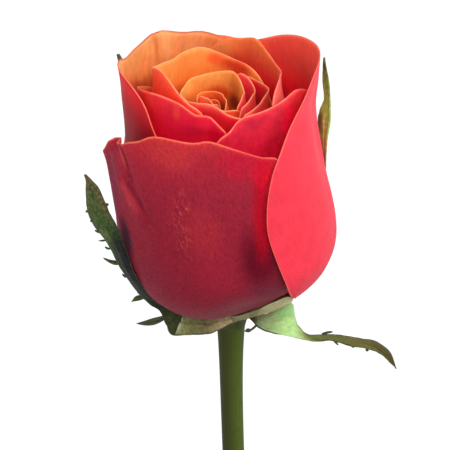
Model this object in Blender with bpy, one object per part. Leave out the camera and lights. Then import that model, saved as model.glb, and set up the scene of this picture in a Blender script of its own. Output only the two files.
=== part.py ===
"""A cut rose lying on its side, as bloom, calyx and stem."""
import math

import bmesh
import bpy
from mathutils import Matrix, Vector

# Sizes below are in millimetres and degrees, and meshes are made in metres.
MM = 0.001

# The flower is modelled upright on its own axis: +Z up the stem, -Y towards the viewer.
# Azimuths go round that axis: 0 is right, 90 is the back, 180 is left, 270 is the front.
BLOOM_RADIUS = 25.6
BOWL_HEIGHT = 22.0
NECK_HEIGHT = 50.0
NECK_NARROWING = 0.07
BLOOM_LEAN = -0.075
BOWL_LIFT = 4.8
LIFT_AZIMUTH = 325.0
BLADE = 0.7
GAP = 0.3

CORE_RADIUS = 12.0
CORE_BASE_RADIUS = 6.5
CORE_TOP = 46.0

HIP_RADIUS = 5.0
HIP_LENGTH = 8.0

STEM_RADIUS = 2.5
STEM_TOP_RADIUS = 3.0
STEM_END_RADIUS = 2.7
STEM_SIDES = 16
STEM_BOW = 1.6
CUT_SLANT = 38.0

# Lying down, the lowest petal is pressed a little flat and the cut end touches the surface.
LYING_TILT = 7.2
BACK_PETAL_RADIUS = 26.6
PRESS = 0.6


def body_radius(height, radius):
    """The bloom's own curve: a bowl that closes to the claw below and narrows to the neck above."""
    if height < BOWL_HEIGHT:
        share = max(0.0, height / BOWL_HEIGHT)
        return radius * math.sqrt(max(0.03, 1 - (1 - share) ** 3))
    share = min(1.0, (height - BOWL_HEIGHT) / (NECK_HEIGHT - BOWL_HEIGHT))
    return radius * (1 - NECK_NARROWING * share * share * (3 - 2 * share))


def along(rows, share):
    """A smooth curve through the rows, at a share of its length in steps between rows."""
    last = len(rows) - 1
    place = min(max(share, 0.0), 1.0) * last
    k = min(int(place), last - 1)
    f = place - k
    before, here, after, later = (rows[min(max(k + j, 0), last)] for j in (-1, 0, 1, 2))
    return [
        0.5 * (2 * b + (c - a) * f + (2 * a - 5 * b + 4 * c - d) * f ** 2 + (3 * b - a - 3 * c + d) * f ** 3)
        for a, b, c, d in zip(before, here, after, later)
    ]


def unwound(outline):
    """The outline with each azimuth taken the short way round from the one before."""
    rows = [outline[0]]
    for azimuth, height, flare in outline[1:]:
        turns = round((rows[-1][0] - azimuth) / 360)
        rows.append((azimuth + 360 * turns, height, flare))
    return rows


def evened(rows, radius, count):
    """Shares of the curve at equal steps of length, so that the grid's columns are even."""
    fine = 12 * (len(rows) - 1)
    points = [along(rows, i / fine) for i in range(fine + 1)]
    lengths = [0.0]
    for a, b in zip(points, points[1:]):
        step = math.hypot(math.radians(b[0] - a[0]) * radius, b[1] - a[1])
        lengths.append(lengths[-1] + step)
    shares = []
    k = 0
    for i in range(count + 1):
        target = lengths[-1] * i / count
        while k < fine - 1 and lengths[k + 1] < target:
            k += 1
        part = (target - lengths[k]) / max(1e-6, lengths[k + 1] - lengths[k])
        shares.append((k + part) / fine)
    return shares


def petal(radius, root, outline, spread=50, foot=0.6, fade=2.5, dent=None, columns=14, rows=5):
    """A petal fans out from its root to an outline of (azimuth, height, flare from the body)."""
    outline = unwound(outline)
    middle = sum(row[0] for row in outline) / len(outline)
    root += 360 * round((middle - root) / 360)
    if outline[-1][0] < outline[0][0]:
        spread = -spread
    return dict(radius=radius, root=root, outline=outline, spread=spread, foot=foot,
                fade=fade, dent=dent, columns=columns, rows=rows)


# Outer petals first. The outline runs up one side, along the rim and down the other side.
PETALS = {
    "back_guard": petal(BACK_PETAL_RADIUS, 95, spread=60, rows=8, outline=[
        (46, 12, 0), (38, 28, 0), (46, 44, 0), (65, 54, 0.3), (95, 56.5, 0.6), (125, 53, 0.3),
        (143, 42, 0), (150, 27, 0), (140, 11, 0)]),
    "front_left_guard": petal(BLOOM_RADIUS - 1.0, 250, spread=70, fade=1.8, dent=(188, 6, -1.2), columns=16, outline=[
        (182, 12, 0), (170, 28, 0.8), (182, 40, 2.8), (205, 46, 4.6), (215, 50, 4.0),
        (225, 52, 3.0), (241, 55, 2.0), (259, 54, 0.4), (279, 53, 0.6), (304, 48.5, 1.6),
        (318, 38, 0), (326, 22, 0), (312, 9, 0)]),
    "right_guard": petal(BLOOM_RADIUS, 350, spread=60, columns=16, outline=[
        (304, 14, 0.2), (295, 28, 0.4), (294, 36, 0.6), (297, 45, 1.2), (306, 50.5, 1.5),
        (321, 57, 0.4), (337, 61.5, -0.1), (352, 63, 0), (10, 63, 0.6), (28, 61.8, 1.2),
        (45, 60, 1.8), (60, 57.5, 1.4), (75, 52, 0), (84, 40, -0.5), (84, 25, 0), (65, 9, 0)]),
    "back_left": petal(21.7, 165, spread=60, columns=16, outline=[
        (232, 12, 0), (252, 28, 0), (250, 42, 0), (236, 52.5, 0.4), (226, 59, 0.1), (211, 62, 0),
        (192, 62.3, 0), (172, 61, 0.2), (155, 59, 0.5), (140, 60, 0.6), (126, 61.5, 0.6),
        (110, 60, 0.6), (92, 59.3, 0.6), (78, 56, 0.2), (62, 44, 0), (60, 25, 0), (85, 10, 0)]),
    "front_right": petal(21.4, 310, outline=[
        (262, 12, 0), (256, 30, 0), (260, 43, 0), (272, 52.5, 0.2), (281, 54.5, -1.0),
        (296, 56.6, -3.0), (306, 56.7, -2.9), (316, 57.2, -2.2), (335, 59.5, 0.3), (348, 57.5, 1.2),
        (2, 53, 0.6), (14, 42, 0), (14, 26, 0), (356, 9, 0)]),
    "front_left": petal(20.2, 240, outline=[
        (284, 12, 0), (295, 28, 0), (292, 42, -0.6), (280, 53, -0.8), (268, 57, -2.7),
        (257, 57, -3.2), (246, 59, -3.1), (236, 60, -2.6), (212, 59.5, -2.0), (184, 56.5, -2.4),
        (165, 54, -3.4), (150, 51, -3), (143, 42, -1), (145, 28, 0), (170, 11, 0)]),
    "back": petal(19.0, 60, outline=[
        (350, 14, 0), (328, 28, 0), (316, 44, 0), (317, 54, -0.3), (322, 59.5, -0.6),
        (335, 61, -1.2), (355, 60, -2.0), (15, 58, -1.4), (46, 58, 0.1), (58, 60, 1.1),
        (84, 58, 1.8), (100, 53, 0.8), (112, 42, 0), (116, 26, 0), (106, 9, 0)]),
    "inner_left": petal(16.0, 130, foot=3, columns=16, rows=6, outline=[
        (215, 14, 0), (262, 36, 0), (270, 48, -0.3), (262, 56, -0.9), (240, 60.3, -0.9),
        (228, 61.5, -1.5), (215, 63, -2.4), (185, 60.5, -2.5), (165, 59.5, -2.8), (148, 58.5, -2.7),
        (118, 57.1, -1.1), (83, 56, -0.6), (54, 54, -1.2), (24, 49, -1.2), (14, 42, -0.5),
        (22, 30, 0), (50, 15, 0)]),
    "inner_front": petal(13.6, 280, foot=3, fade=2, outline=[
        (225, 16, 0), (202, 34, 0), (208, 48, -0.8), (238, 57.3, -1.5), (255, 57.5, -1.5),
        (266, 57.8, -0.9), (284, 55.8, 0.6), (308, 53.8, 1.1), (322, 49, 0.4), (334, 42, 0),
        (336, 28, 0), (330, 12, 0)]),
    "inner_right": petal(13.8, 0, foot=3, fade=2, outline=[
        (300, 18, 0), (284, 36, 0), (286, 47, 0), (300, 54, 0), (338, 56, -0.7), (355, 55.5, -0.7),
        (12, 54.5, -0.6), (40, 53.5, -0.6), (66, 50, -1), (80, 42, -0.5), (84, 28, 0), (58, 10, 0)]),
    "ring_right": petal(10.8, 10, foot=22, fade=2, columns=12, rows=4, outline=[
        (312, 30, 0), (294, 38, 0), (296, 46, 0), (306, 54, 0), (340, 55.8, -0.7),
        (356, 54.8, -1.0), (27, 54.5, -0.5), (54, 55.2, -0.3), (70, 52, -0.4), (90, 42, 0),
        (94, 32, 0), (65, 26, 0)]),
    "ring_front": petal(9.2, 280, spread=40, foot=24, fade=2, columns=12, rows=4, outline=[
        (225, 30, -1), (205, 40, -3), (212, 50, -4.1), (228, 55, -4.1), (262, 55, -4.1),
        (279, 54.4, -0.6), (302, 54, 0.3), (312, 52.5, 0.3), (322, 44, 0), (326, 32, 0)]),
    "cup": petal(9.0, 120, foot=26, fade=2, columns=12, rows=4, outline=[
        (205, 32, 0), (238, 40, 0), (243, 47, -0.4), (232, 54, -0.8), (204, 55, -1.2),
        (186, 54.2, -1.4), (144, 53.6, -0.5), (110, 54.6, 0.2), (60, 56, 0.2), (28, 54.6, -1.2),
        (8, 54.2, -1.6), (335, 55.4, -1.3), (309, 53, -0.5), (305, 46, -0.3), (318, 38, 0),
        (350, 30, 0)]),
    "heart": petal(4.4, 60, foot=36, spread=30, fade=2, columns=14, rows=4, outline=[
        (170, 41, 0), (190, 47, 0), (160, 52.5, 0), (87, 53, -0.5), (20, 53, -1.2), (330, 53, -0.3),
        (300, 52, 0.8), (285, 46, 0.6), (300, 40, 0)]),
}

# Petals too small to place one by one fill the heart in turn, a golden angle apart.
HEART_COUNT = 2
GOLDEN_ANGLE = 137.5

# Each sepal: its frame's azimuth, then rows of (azimuth, radius, height, width, roll) from root to tip.
SEPALS = {
    "left": (200, [
        (212, 3.5, -2.5, 7, -60), (211, 9, -3.2, 7.5, -78), (210, 14.6, -2.4, 7, -78), (208, 18.8, 3.0, 4.6, -45),
        (205, 23.4, 8.6, 5.0, -5), (200, 25.6, 14.5, 6.2, 22), (194, 27.2, 20, 6.8, 40), (190, 28.4, 26, 6.6, 50),
        (188.5, 29.3, 31, 4.8, 50), (188, 30.2, 36.2, 0.8, 50)]),
    "front": (246, [
        (246, 3.6, -2.0, 10, 6), (246, 7.5, -1.4, 13, 6), (246, 10.3, -1.2, 16, 6),
        (246, 12.2, -1.5, 15.5, 6), (246, 13.5, -2.2, 11, 6)]),
    "right": (325, [
        (315, 3.5, -2.0, 8, 10), (320, 9, -2.2, 10, 10), (324, 14, -2.9, 10.5, 5), (327, 18.5, -4.2, 3.6, 0),
        (329, 23, -3.3, 2.2, 0), (331, 28, -2.0, 2.6, 0), (332, 34, -2.2, 3.0, 0), (333, 39.5, -4.0, 2.4, 0),
        (334, 42.3, -7.6, 0.8, 0)]),
    "back_right": (36, [
        (36, 3.5, -2.0, 8, 0), (36, 10, -2.2, 9, 0), (36, 18, 0.6, 8, 0), (36, 24.2, 6.3, 7, 0), (36, 27.6, 13, 6.5, 0),
        (36, 28.8, 22, 6, 0), (36, 29.6, 31, 4.6, 8), (36, 31.0, 39, 5.4, 20), (36, 32.0, 47, 4.2, 20),
        (36, 31.8, 54, 0.8, 20)]),
    "back_left": (140, [
        (140, 3.5, -2.0, 8, 0), (140, 10, -2.2, 9, 0), (140, 18, 0.6, 8, 0), (140, 24.2, 6.3, 7, 0), (140, 27.6, 13, 6.5, 0),
        (138, 28.5, 22, 6, 0), (136, 28.3, 32, 5.5, 0), (136, 27.4, 42, 5, 0), (139, 27.4, 50, 3, 0),
        (142, 27.4, 55.5, 0.8, 0)]),
}
SEPAL_CUP = 0.08
SEPAL_ROOM = 1.25

# Leaflets on the sepals' edges: sepal, share of its length, side, length, width, sweep towards the tip.
LEAFLETS = [
    ("left", 0.27, 1, 6.5, 1.9, 35), ("left", 0.52, 1, 4.5, 1.4, 20), ("left", 0.66, 1, 3.2, 1.2, 30),
    ("left", 0.80, 1, 2.4, 1.2, 30), ("right", 0.58, -1, 3.0, 1.2, 40), ("right", 0.66, 1, 2.4, 1.2, 40),
    ("back_right", 0.70, 1, 3.4, 1.4, 30), ("back_right", 0.56, -1, 3.2, 1.3, 30),
    ("back_left", 0.60, 1, 3.4, 1.4, 30), ("back_left", 0.52, -1, 3.0, 1.3, 30),
]

# Prickles on the stem: distance below the bloom and azimuth, all on the side that faces up.
PRICKLES = [(52, 208), (71, 322), (93, 232), (118, 300), (141, 212)]
PRICKLE_LENGTH = 5.0
PRICKLE_RADIUS = 1.5

# Where a leaf was cut off, the stem is a little thicker.
LEAF_SCARS = (84, 131)
SCAR_SWELLING = 0.45
SCAR_HEIGHT = 2.5


def clear_scene():
    for thing in list(bpy.data.objects):
        bpy.data.objects.remove(thing, do_unlink=True)


def plain_material(name, colour, roughness):
    material = bpy.data.materials.new(name)
    material.use_nodes = True
    shader = material.node_tree.nodes["Principled BSDF"]
    shader.inputs["Base Color"].default_value = (*colour, 1)
    shader.inputs["Roughness"].default_value = roughness
    shader.inputs["Metallic"].default_value = 0.0
    material.diffuse_color = (*colour, 1)
    return material


def bowl_lift(azimuth, radius, height):
    """How much higher the bowl is on its shallow side, to the right of the front."""
    facing = max(0.0, math.cos(math.radians(azimuth - LIFT_AZIMUTH))) ** 1.3
    above = max(0.0, height - 5.0)
    return BOWL_LIFT * facing * min(1.0, radius / 19.0) ** 2 * math.exp(-(above / 12.0) ** 2)


def polar(azimuth, radius, height):
    """A point round the bloom's axis, which leans a little to the left."""
    angle = math.radians(azimuth)
    return Vector((radius * math.cos(angle) + BLOOM_LEAN * max(height, 0), radius * math.sin(angle), height))


def petal_point(form, share, rise):
    azimuth, height, flare = along(form["outline"], share)
    root = form["root"] + (share - 0.5) * form["spread"]
    azimuth = root + (azimuth - root) * rise
    height = form["foot"] + (height - form["foot"]) * rise
    radius = body_radius(height, form["radius"]) + flare * rise ** form["fade"]
    if form["dent"]:
        at, level, depth = form["dent"]
        aside = (azimuth - at + 180) % 360 - 180
        radius += depth * math.exp(-(aside / 30) ** 2 - ((height - level) / 9) ** 2)
    return polar(azimuth, radius, height + bowl_lift(azimuth, radius, height))


def object_of(name, bm):
    mesh = bpy.data.meshes.new(name)
    bm.to_mesh(mesh)
    bm.free()
    thing = bpy.data.objects.new(name, mesh)
    bpy.context.scene.collection.objects.link(thing)
    return thing


def applied(thing):
    """Keeps what the modifiers make as the object's own mesh."""
    graph = bpy.context.evaluated_depsgraph_get()
    made = bpy.data.meshes.new_from_object(thing.evaluated_get(graph))
    thing.modifiers.clear()
    thing.data = made
    return thing


def blade(name, columns, rows, place):
    """A closed blade of even thickness round the surface that place(column share, row share) gives."""
    bm = bmesh.new()
    bmesh.ops.create_grid(bm, x_segments=columns, y_segments=rows, size=0.5)
    for vertex in bm.verts:
        vertex.co = place(vertex.co.x + 0.5, vertex.co.y + 0.5) * MM
    bmesh.ops.triangulate(bm, faces=bm.faces[:])
    thing = object_of(name, bm)
    solid = thing.modifiers.new("thickness", "SOLIDIFY")
    solid.thickness = BLADE * MM
    solid.offset = 0
    return facing_out(applied(thing))


def facing_out(thing):
    """Turns a closed mesh right side out."""
    bm = bmesh.new()
    bm.from_mesh(thing.data)
    bmesh.ops.recalc_face_normals(bm, faces=bm.faces[:])
    if bm.calc_volume(signed=True) < 0:
        bmesh.ops.reverse_faces(bm, faces=bm.faces[:])
    bm.to_mesh(thing.data)
    bm.free()
    return thing


def make_petal(name, form):
    shares = evened(form["outline"], form["radius"], form["columns"])
    last = form["columns"]
    return blade(name, last, form["rows"],
                 lambda u, v: petal_point(form, shares[round(u * last)], v))


def heart_petal(number):
    """A small petal of the heart. Each younger one is closer in and a golden angle further round."""
    middle = 235 + GOLDEN_ANGLE * number
    radius = 2.7 - 1.3 * number
    top = 52.6 - 0.8 * number
    half = 95
    outline = [
        (middle - half, 42, 0), (middle - half, 47, 0), (middle - half * 0.6, top - 0.8, 0),
        (middle, top, -0.2), (middle + half * 0.6, top - 0.8, 0), (middle + half, 47, 0), (middle + half, 42, 0)]
    return petal(radius, middle, outline, spread=30, foot=36, fade=2, columns=10, rows=4)


def turned(name, profile, sides):
    """A solid of revolution through (radius, height) points that start and end on the axis."""
    bm = bmesh.new()
    points = [bm.verts.new((radius * MM, 0, height * MM)) for radius, height in profile]
    edges = [bm.edges.new(pair) for pair in zip(points, points[1:])]
    bmesh.ops.spin(bm, geom=points + edges, cent=(0, 0, 0), axis=(0, 0, 1), angle=2 * math.pi, steps=sides)
    bmesh.ops.remove_doubles(bm, verts=bm.verts[:], dist=0.01 * MM)
    bmesh.ops.triangulate(bm, faces=bm.faces[:])
    return facing_out(object_of(name, bm))


def core():
    """The smaller core inside, which all the petals stand out of. It leans with the bloom."""
    profile = [
        (0, 0.1), (CORE_BASE_RADIUS, 0.1), (CORE_BASE_RADIUS + 3, 1.8), (CORE_RADIUS - 1.2, 4),
        (CORE_RADIUS, 9), (CORE_RADIUS, 32), (CORE_RADIUS * 0.78, 38), (CORE_RADIUS * 0.5, 43), (0, CORE_TOP)]
    thing = turned("bloom", profile, 20)
    for vertex in thing.data.vertices:
        vertex.co.x += BLOOM_LEAN * vertex.co.z
    return thing


def fused(thing, others):
    """One Boolean union of the thing with the others, which are then removed."""
    group = bpy.data.collections.new(thing.name + "_pieces")
    bpy.context.scene.collection.children.link(group)
    for other in others:
        bpy.context.scene.collection.objects.unlink(other)
        group.objects.link(other)
    union = thing.modifiers.new("union", "BOOLEAN")
    union.operation = "UNION"
    union.solver = "EXACT"
    union.operand_type = "COLLECTION"
    union.collection = group
    union.use_self = False
    applied(thing)
    for other in others:
        bpy.data.objects.remove(other, do_unlink=True)
    bpy.data.collections.remove(group)
    return keep_largest(thing)


def keep_largest(thing):
    """Drops the shells of sealed hollows and any loose scrap, so that one outer skin stays."""
    bm = bmesh.new()
    bm.from_mesh(thing.data)
    bmesh.ops.triangulate(bm, faces=bm.faces[:])
    unseen = set(bm.faces)
    shells = []
    while unseen:
        shell = {unseen.pop()}
        edge_of_shell = list(shell)
        while edge_of_shell:
            face = edge_of_shell.pop()
            for edge in face.edges:
                for near in edge.link_faces:
                    if near in unseen:
                        unseen.remove(near)
                        shell.add(near)
                        edge_of_shell.append(near)
        shells.append(shell)
    shells.sort(key=len)
    for shell in shells[:-1]:
        bmesh.ops.delete(bm, geom=list(shell), context="FACES")
    bm.to_mesh(thing.data)
    bm.free()
    return thing


def sepal_frame(sepal, share):
    """Centre, side and outward direction of a sepal at a share of its length."""
    azimuth, rows = sepal
    at, radius, height, width, roll = along(rows, share)
    centre = polar(at, radius, height)
    ahead = along(rows, min(1, share + 0.01))
    behind = along(rows, max(0, share - 0.01))
    onward = (polar(*ahead[:3]) - polar(*behind[:3])).normalized()
    angle = math.radians(azimuth)
    side = Vector((-math.sin(angle), math.cos(angle), 0))
    side = (side - onward * side.dot(onward)).normalized()
    side = Matrix.Rotation(math.radians(-roll), 3, onward) @ side
    return centre, side, side.cross(onward), onward, width


def bloom_reach(azimuth, height):
    """How far out the bloom comes at this azimuth and height."""
    back = math.exp(-((azimuth - 95) / 62) ** 4)
    radius = BLOOM_RADIUS + (BACK_PETAL_RADIUS - BLOOM_RADIUS) * back
    share = min(max((height - 26) / 18, 0), 1)
    lip = 4.0 * math.exp(-((azimuth - 200) / 24) ** 2) * share * share
    return body_radius(height, radius) + lip


def bloom_floor(radius):
    """Height of the bowl's underside at this distance from the axis."""
    share = min(1.0, radius / BACK_PETAL_RADIUS) ** 2
    return BOWL_HEIGHT * (1 - (1 - share) ** (1 / 3))


def outside_bloom(point):
    """Moves a sepal's point that is too near the petals down under the bowl or out beside it."""
    x = point.x - BLOOM_LEAN * max(point.z, 0)
    radius = math.hypot(x, point.y)
    azimuth = math.degrees(math.atan2(point.y, x)) % 360
    room = bloom_reach(azimuth, point.z + SEPAL_ROOM * 0.5) + SEPAL_ROOM
    floor = bloom_floor(radius) - SEPAL_ROOM
    if point.z <= floor or radius >= room:
        return point
    if point.z - floor < 2.5 and radius < 16:
        return Vector((point.x, point.y, floor))
    grow = room / radius
    return Vector((point.x + x * (grow - 1), point.y * grow, point.z))


def sepal_point(sepal, share, across):
    centre, side, outward, onward, width = sepal_frame(sepal, share)
    width = max(0.8, width)
    bent = outward * (SEPAL_CUP * width * across * across)
    return outside_bloom(centre + side * (across * width / 2) - bent)


def make_sepal(name, sepal):
    return blade(name, 20, 4, lambda u, v: sepal_point(sepal, u, 2 * v - 1))


def leaflet(name, sepal, share, hand, length, width, sweep):
    """A small pointed leaflet that grows from a sepal's edge, with its root inside the sepal."""
    centre, side, outward, onward, sepal_width = sepal_frame(sepal, share)
    angle = math.radians(sweep)
    way = side * (hand * math.cos(angle)) + onward * math.sin(angle)
    aside = way.cross(outward).normalized()
    root = sepal_point(sepal, share, 0.55 * hand)

    def place(u, v):
        half = width / 2 * (0.35 + 0.65 * math.sin(math.pi * min(1, u * 0.9 + 0.1)))
        bent = outward * (0.12 * length * u * u)
        return outside_bloom(root + way * (length * u) + aside * (half * (2 * v - 1)) + bent)

    return blade(name, 4, 2, place)


def make_calyx():
    profile = [
        (0, -GAP), (HIP_RADIUS, -GAP), (HIP_RADIUS + 0.1, -1.6), (HIP_RADIUS * 0.86, -3.6),
        (HIP_RADIUS * 0.7, -5.8), (STEM_TOP_RADIUS + 0.1, -HIP_LENGTH), (0, -HIP_LENGTH)]
    hip = turned("calyx", profile, 20)
    blades = [make_sepal("sepal_" + name, sepal) for name, sepal in SEPALS.items()]
    blades += [
        leaflet("leaflet_%d" % number, SEPALS[name], *rest)
        for number, (name, *rest) in enumerate(LEAFLETS)]
    return fused(hip, blades)


def stem_radius(below):
    """Thicker under the hip, at each leaf scar and towards the cut."""
    radius = STEM_RADIUS + (STEM_TOP_RADIUS - STEM_RADIUS) * math.exp(-(below - HIP_LENGTH) / 9)
    radius += (STEM_END_RADIUS - STEM_RADIUS) * below / stem_length()
    for scar in LEAF_SCARS:
        radius += SCAR_SWELLING * math.exp(-((below - scar) / SCAR_HEIGHT) ** 2)
    return radius


def stem_centre(below):
    """The stem bows a little to the right between the bloom and its cut end."""
    share = (below - HIP_LENGTH) / (stem_length() - HIP_LENGTH)
    return Vector((STEM_BOW * math.sin(math.pi * max(0, share)), 0, -below))


def make_stem():
    length = stem_length()
    bm = bmesh.new()
    rings = []
    steps = 46
    top = HIP_LENGTH + GAP
    for i in range(steps + 1):
        below = top + (length - top) * i / steps
        centre, radius = stem_centre(below), stem_radius(below)
        ring = []
        for k in range(STEM_SIDES):
            angle = 2 * math.pi * k / STEM_SIDES
            point = centre + Vector((radius * math.cos(angle), radius * math.sin(angle), 0))
            if i == steps:
                point.z += math.tan(math.radians(CUT_SLANT)) * (radius * math.sin(angle) - radius)
            ring.append(bm.verts.new(point * MM))
        rings.append(ring)
    for upper, lower in zip(rings, rings[1:]):
        for k in range(STEM_SIDES):
            j = (k + 1) % STEM_SIDES
            bm.faces.new((upper[k], upper[j], lower[j], lower[k]))
    bm.faces.new(rings[0])
    bm.faces.new(rings[-1])
    bmesh.ops.triangulate(bm, faces=bm.faces[:])
    stem = facing_out(object_of("stem", bm))
    return fused(stem, [prickle(number, *spot) for number, spot in enumerate(PRICKLES)])


def prickle(number, below, azimuth):
    """A flattened thorn that hooks a little towards the cut end."""
    angle = math.radians(azimuth)
    out = Vector((math.cos(angle), math.sin(angle), 0))
    around = Vector((-math.sin(angle), math.cos(angle), 0))
    foot = stem_centre(below) + out * (stem_radius(below) - 0.9)
    bm = bmesh.new()
    rings = []
    for i in range(4):
        share = i / 4
        size = PRICKLE_RADIUS * (1 - share) ** 1.3
        centre = foot + out * (PRICKLE_LENGTH * share) + Vector((0, 0, -2.0 * share * share))
        rings.append([
            bm.verts.new((centre + Vector((0, 0, 1.5 * size * math.cos(turn))) + around * (0.6 * size * math.sin(turn))) * MM)
            for turn in (math.pi * k / 4 for k in range(8))])
    tip = bm.verts.new((foot + out * PRICKLE_LENGTH + Vector((0, 0, -2.0))) * MM)
    for inner, outer in zip(rings, rings[1:]):
        for k in range(8):
            bm.faces.new((inner[k], inner[(k + 1) % 8], outer[(k + 1) % 8], outer[k]))
    for k in range(8):
        bm.faces.new((rings[-1][k], rings[-1][(k + 1) % 8], tip))
    bm.faces.new(rings[0])
    bmesh.ops.triangulate(bm, faces=bm.faces[:])
    return facing_out(object_of("prickle_%d" % number, bm))


def axis_height():
    """Height of the bloom's foot above the surface when its lowest petal is pressed on it."""
    tilt = math.radians(LYING_TILT)
    outer = BACK_PETAL_RADIUS + BLADE / 2
    reach = max(
        body_radius(height, outer) * math.cos(tilt) - height * math.sin(tilt)
        for height in range(0, int(NECK_HEIGHT)))
    return reach - PRESS


def rest_point():
    """The flower's own point above which its pressed spot lies."""
    tilt = math.radians(LYING_TILT)
    outer = BACK_PETAL_RADIUS + BLADE / 2
    height = max(
        range(0, int(NECK_HEIGHT)),
        key=lambda h: body_radius(h, outer) * math.cos(tilt) - h * math.sin(tilt))
    return polar(90, body_radius(height, outer), height)


def stem_length():
    """From the bloom's foot to the cut end, so that the cut end just reaches the surface."""
    tilt = math.radians(LYING_TILT)
    return (axis_height() - STEM_END_RADIUS * math.cos(tilt) + 0.3) / math.sin(tilt)


def lying_frame():
    """The empty that lays the upright flower down, with its pressed spot at the origin."""
    tilt = math.radians(LYING_TILT)
    turn = Matrix(((1, 0, 0), (0, math.sin(tilt), math.cos(tilt)), (0, -math.cos(tilt), math.sin(tilt))))
    spot = turn @ rest_point()
    frame = bpy.data.objects.new("lying_flower", None)
    bpy.context.scene.collection.objects.link(frame)
    frame.matrix_world = Matrix.Translation(Vector((-spot.x, -spot.y, axis_height())) * MM) @ turn.to_4x4()
    bpy.context.view_layer.update()
    return frame


def press_flat(thing, frame):
    """Moves what would sink into the surface up to it, which leaves a small flat spot."""
    back = frame.matrix_world.inverted()
    for vertex in thing.data.vertices:
        place = frame.matrix_world @ vertex.co
        if place.z < 0:
            place.z = 0
            vertex.co = back @ place


def make_bloom(frame):
    middle = core()
    forms = dict(PETALS)
    for number in range(HEART_COUNT):
        forms["heart_%d" % number] = heart_petal(number)
    petals = [make_petal(name, form) for name, form in forms.items()]
    for thing in petals:
        press_flat(thing, frame)
    return fused(middle, petals)


def finish(thing, frame, material):
    thing.data.materials.clear()
    thing.data.materials.append(material)
    thing.parent = frame
    thing.data.shade_smooth()
    thing.data.set_sharp_from_angle(angle=math.radians(40))


def main():
    clear_scene()
    frame = lying_frame()
    bloom = make_bloom(frame)
    calyx = make_calyx()
    stem = make_stem()
    press_flat(stem, frame)
    finish(bloom, frame, plain_material("petals", (0.78, 0.09, 0.08), 0.55))
    finish(calyx, frame, plain_material("sepals", (0.16, 0.22, 0.07), 0.6))
    finish(stem, frame, plain_material("stem_skin", (0.12, 0.17, 0.04), 0.5))


main()
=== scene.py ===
# Dresses the lying rose: petals one by one, hip and sepals, prickly stem, then floor, light and camera.
import math

import bmesh
import bpy
from mathutils import Matrix, Vector, noise


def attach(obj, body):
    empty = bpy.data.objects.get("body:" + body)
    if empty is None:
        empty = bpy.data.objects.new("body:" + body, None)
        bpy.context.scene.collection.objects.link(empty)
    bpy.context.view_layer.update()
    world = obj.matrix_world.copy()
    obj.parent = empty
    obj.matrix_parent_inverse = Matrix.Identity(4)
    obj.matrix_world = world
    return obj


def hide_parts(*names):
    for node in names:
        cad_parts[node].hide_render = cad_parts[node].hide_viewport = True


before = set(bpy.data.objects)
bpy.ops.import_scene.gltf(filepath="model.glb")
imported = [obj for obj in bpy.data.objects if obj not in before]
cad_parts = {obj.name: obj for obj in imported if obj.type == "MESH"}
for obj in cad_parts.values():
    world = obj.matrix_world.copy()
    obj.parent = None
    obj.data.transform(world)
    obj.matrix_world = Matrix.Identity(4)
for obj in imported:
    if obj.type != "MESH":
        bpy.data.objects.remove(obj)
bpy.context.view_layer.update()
print("frame loaded")

mm = 0.001

# The rose is shaped upright on its own axis and then laid down, as in the CAD. Its sizes are in mm.
# Azimuth 0 is its right, 90 its back, 180 its left and 270 its front.
lying = {"tilt": 7.2, "axisHeight": 23.86, "shiftRight": 1.2, "shiftAhead": -19.217}
tilt = math.radians(lying["tilt"])
turnDown = Matrix(((1, 0, 0), (0, math.sin(tilt), math.cos(tilt)), (0, -math.cos(tilt), math.sin(tilt))))
restShift = Vector((lying["shiftRight"], lying["shiftAhead"], lying["axisHeight"]))


def laid(point):
    return (turnDown @ Vector(point) + restShift) * mm


# The bloom's body is a round bowl with a slightly narrowing neck. "foot" keeps the bowl open at its root.
body = {"bowl": 22.0, "neck": 50.0, "narrowing": 0.07, "lean": -0.075, "foot": 0.03}
# The bowl is shallower to the right of the front, where its lower part is lifted.
bowlRise = {"height": 4.8, "azimuth": 325, "focus": 1.3, "level": 5.0, "fade": 12.0, "fullRadius": 19.0}


def bodyRadius(height, radius):
    if height < body["bowl"]:
        share = max(0.0, height / body["bowl"])
        return radius * math.sqrt(max(body["foot"], 1 - (1 - share) ** 3))
    share = min(1.0, (height - body["bowl"]) / (body["neck"] - body["bowl"]))
    return radius * (1 - body["narrowing"] * share * share * (3 - 2 * share))


def turnFrom(start, azimuth):
    # degrees from one azimuth to another, the short way round
    return (azimuth - start + 180) % 360 - 180


def nearTo(azimuth, other):
    # the same direction, counted in the turn that lies nearest to the other azimuth
    return azimuth + 360 * round((other - azimuth) / 360)


def bowlLift(petal, azimuth, radius, height):
    facing = max(0.0, math.cos(math.radians(azimuth - bowlRise["azimuth"]))) ** bowlRise["focus"]
    above = max(0.0, height - bowlRise["level"])
    middle, halfWidth, extra = petal.get("raised", (0, 1, 0))
    lift = petal.get("lift", 1.0) * bowlRise["height"] * facing
    lift += extra * math.exp(-(turnFrom(middle, azimuth) / halfWidth) ** 2)
    return lift * min(1.0, radius / bowlRise["fullRadius"]) ** 2 * math.exp(-(above / bowlRise["fade"]) ** 2)


def polar(azimuth, radius, height):
    angle = math.radians(azimuth)
    lean = body["lean"] * max(height, 0)
    return Vector((radius * math.cos(angle) + lean, radius * math.sin(angle), height))


def along(rows, share):
    # smooth curve through the rows
    last = len(rows) - 1
    place = min(max(share, 0.0), 1.0) * last
    k = min(int(place), last - 1)
    f = place - k
    before, here, after, later = (rows[min(max(k + j, 0), last)] for j in (-1, 0, 1, 2))
    return [
        0.5 * (2 * b + (c - a) * f + (2 * a - 5 * b + 4 * c - d) * f ** 2 + (3 * b - a - 3 * c + d) * f ** 3)
        for a, b, c, d in zip(before, here, after, later)
    ]


def unwound(outline):
    rows = [outline[0]]
    for azimuth, height, flare in outline[1:]:
        rows.append((nearTo(azimuth, rows[-1][0]), height, flare))
    return rows


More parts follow.
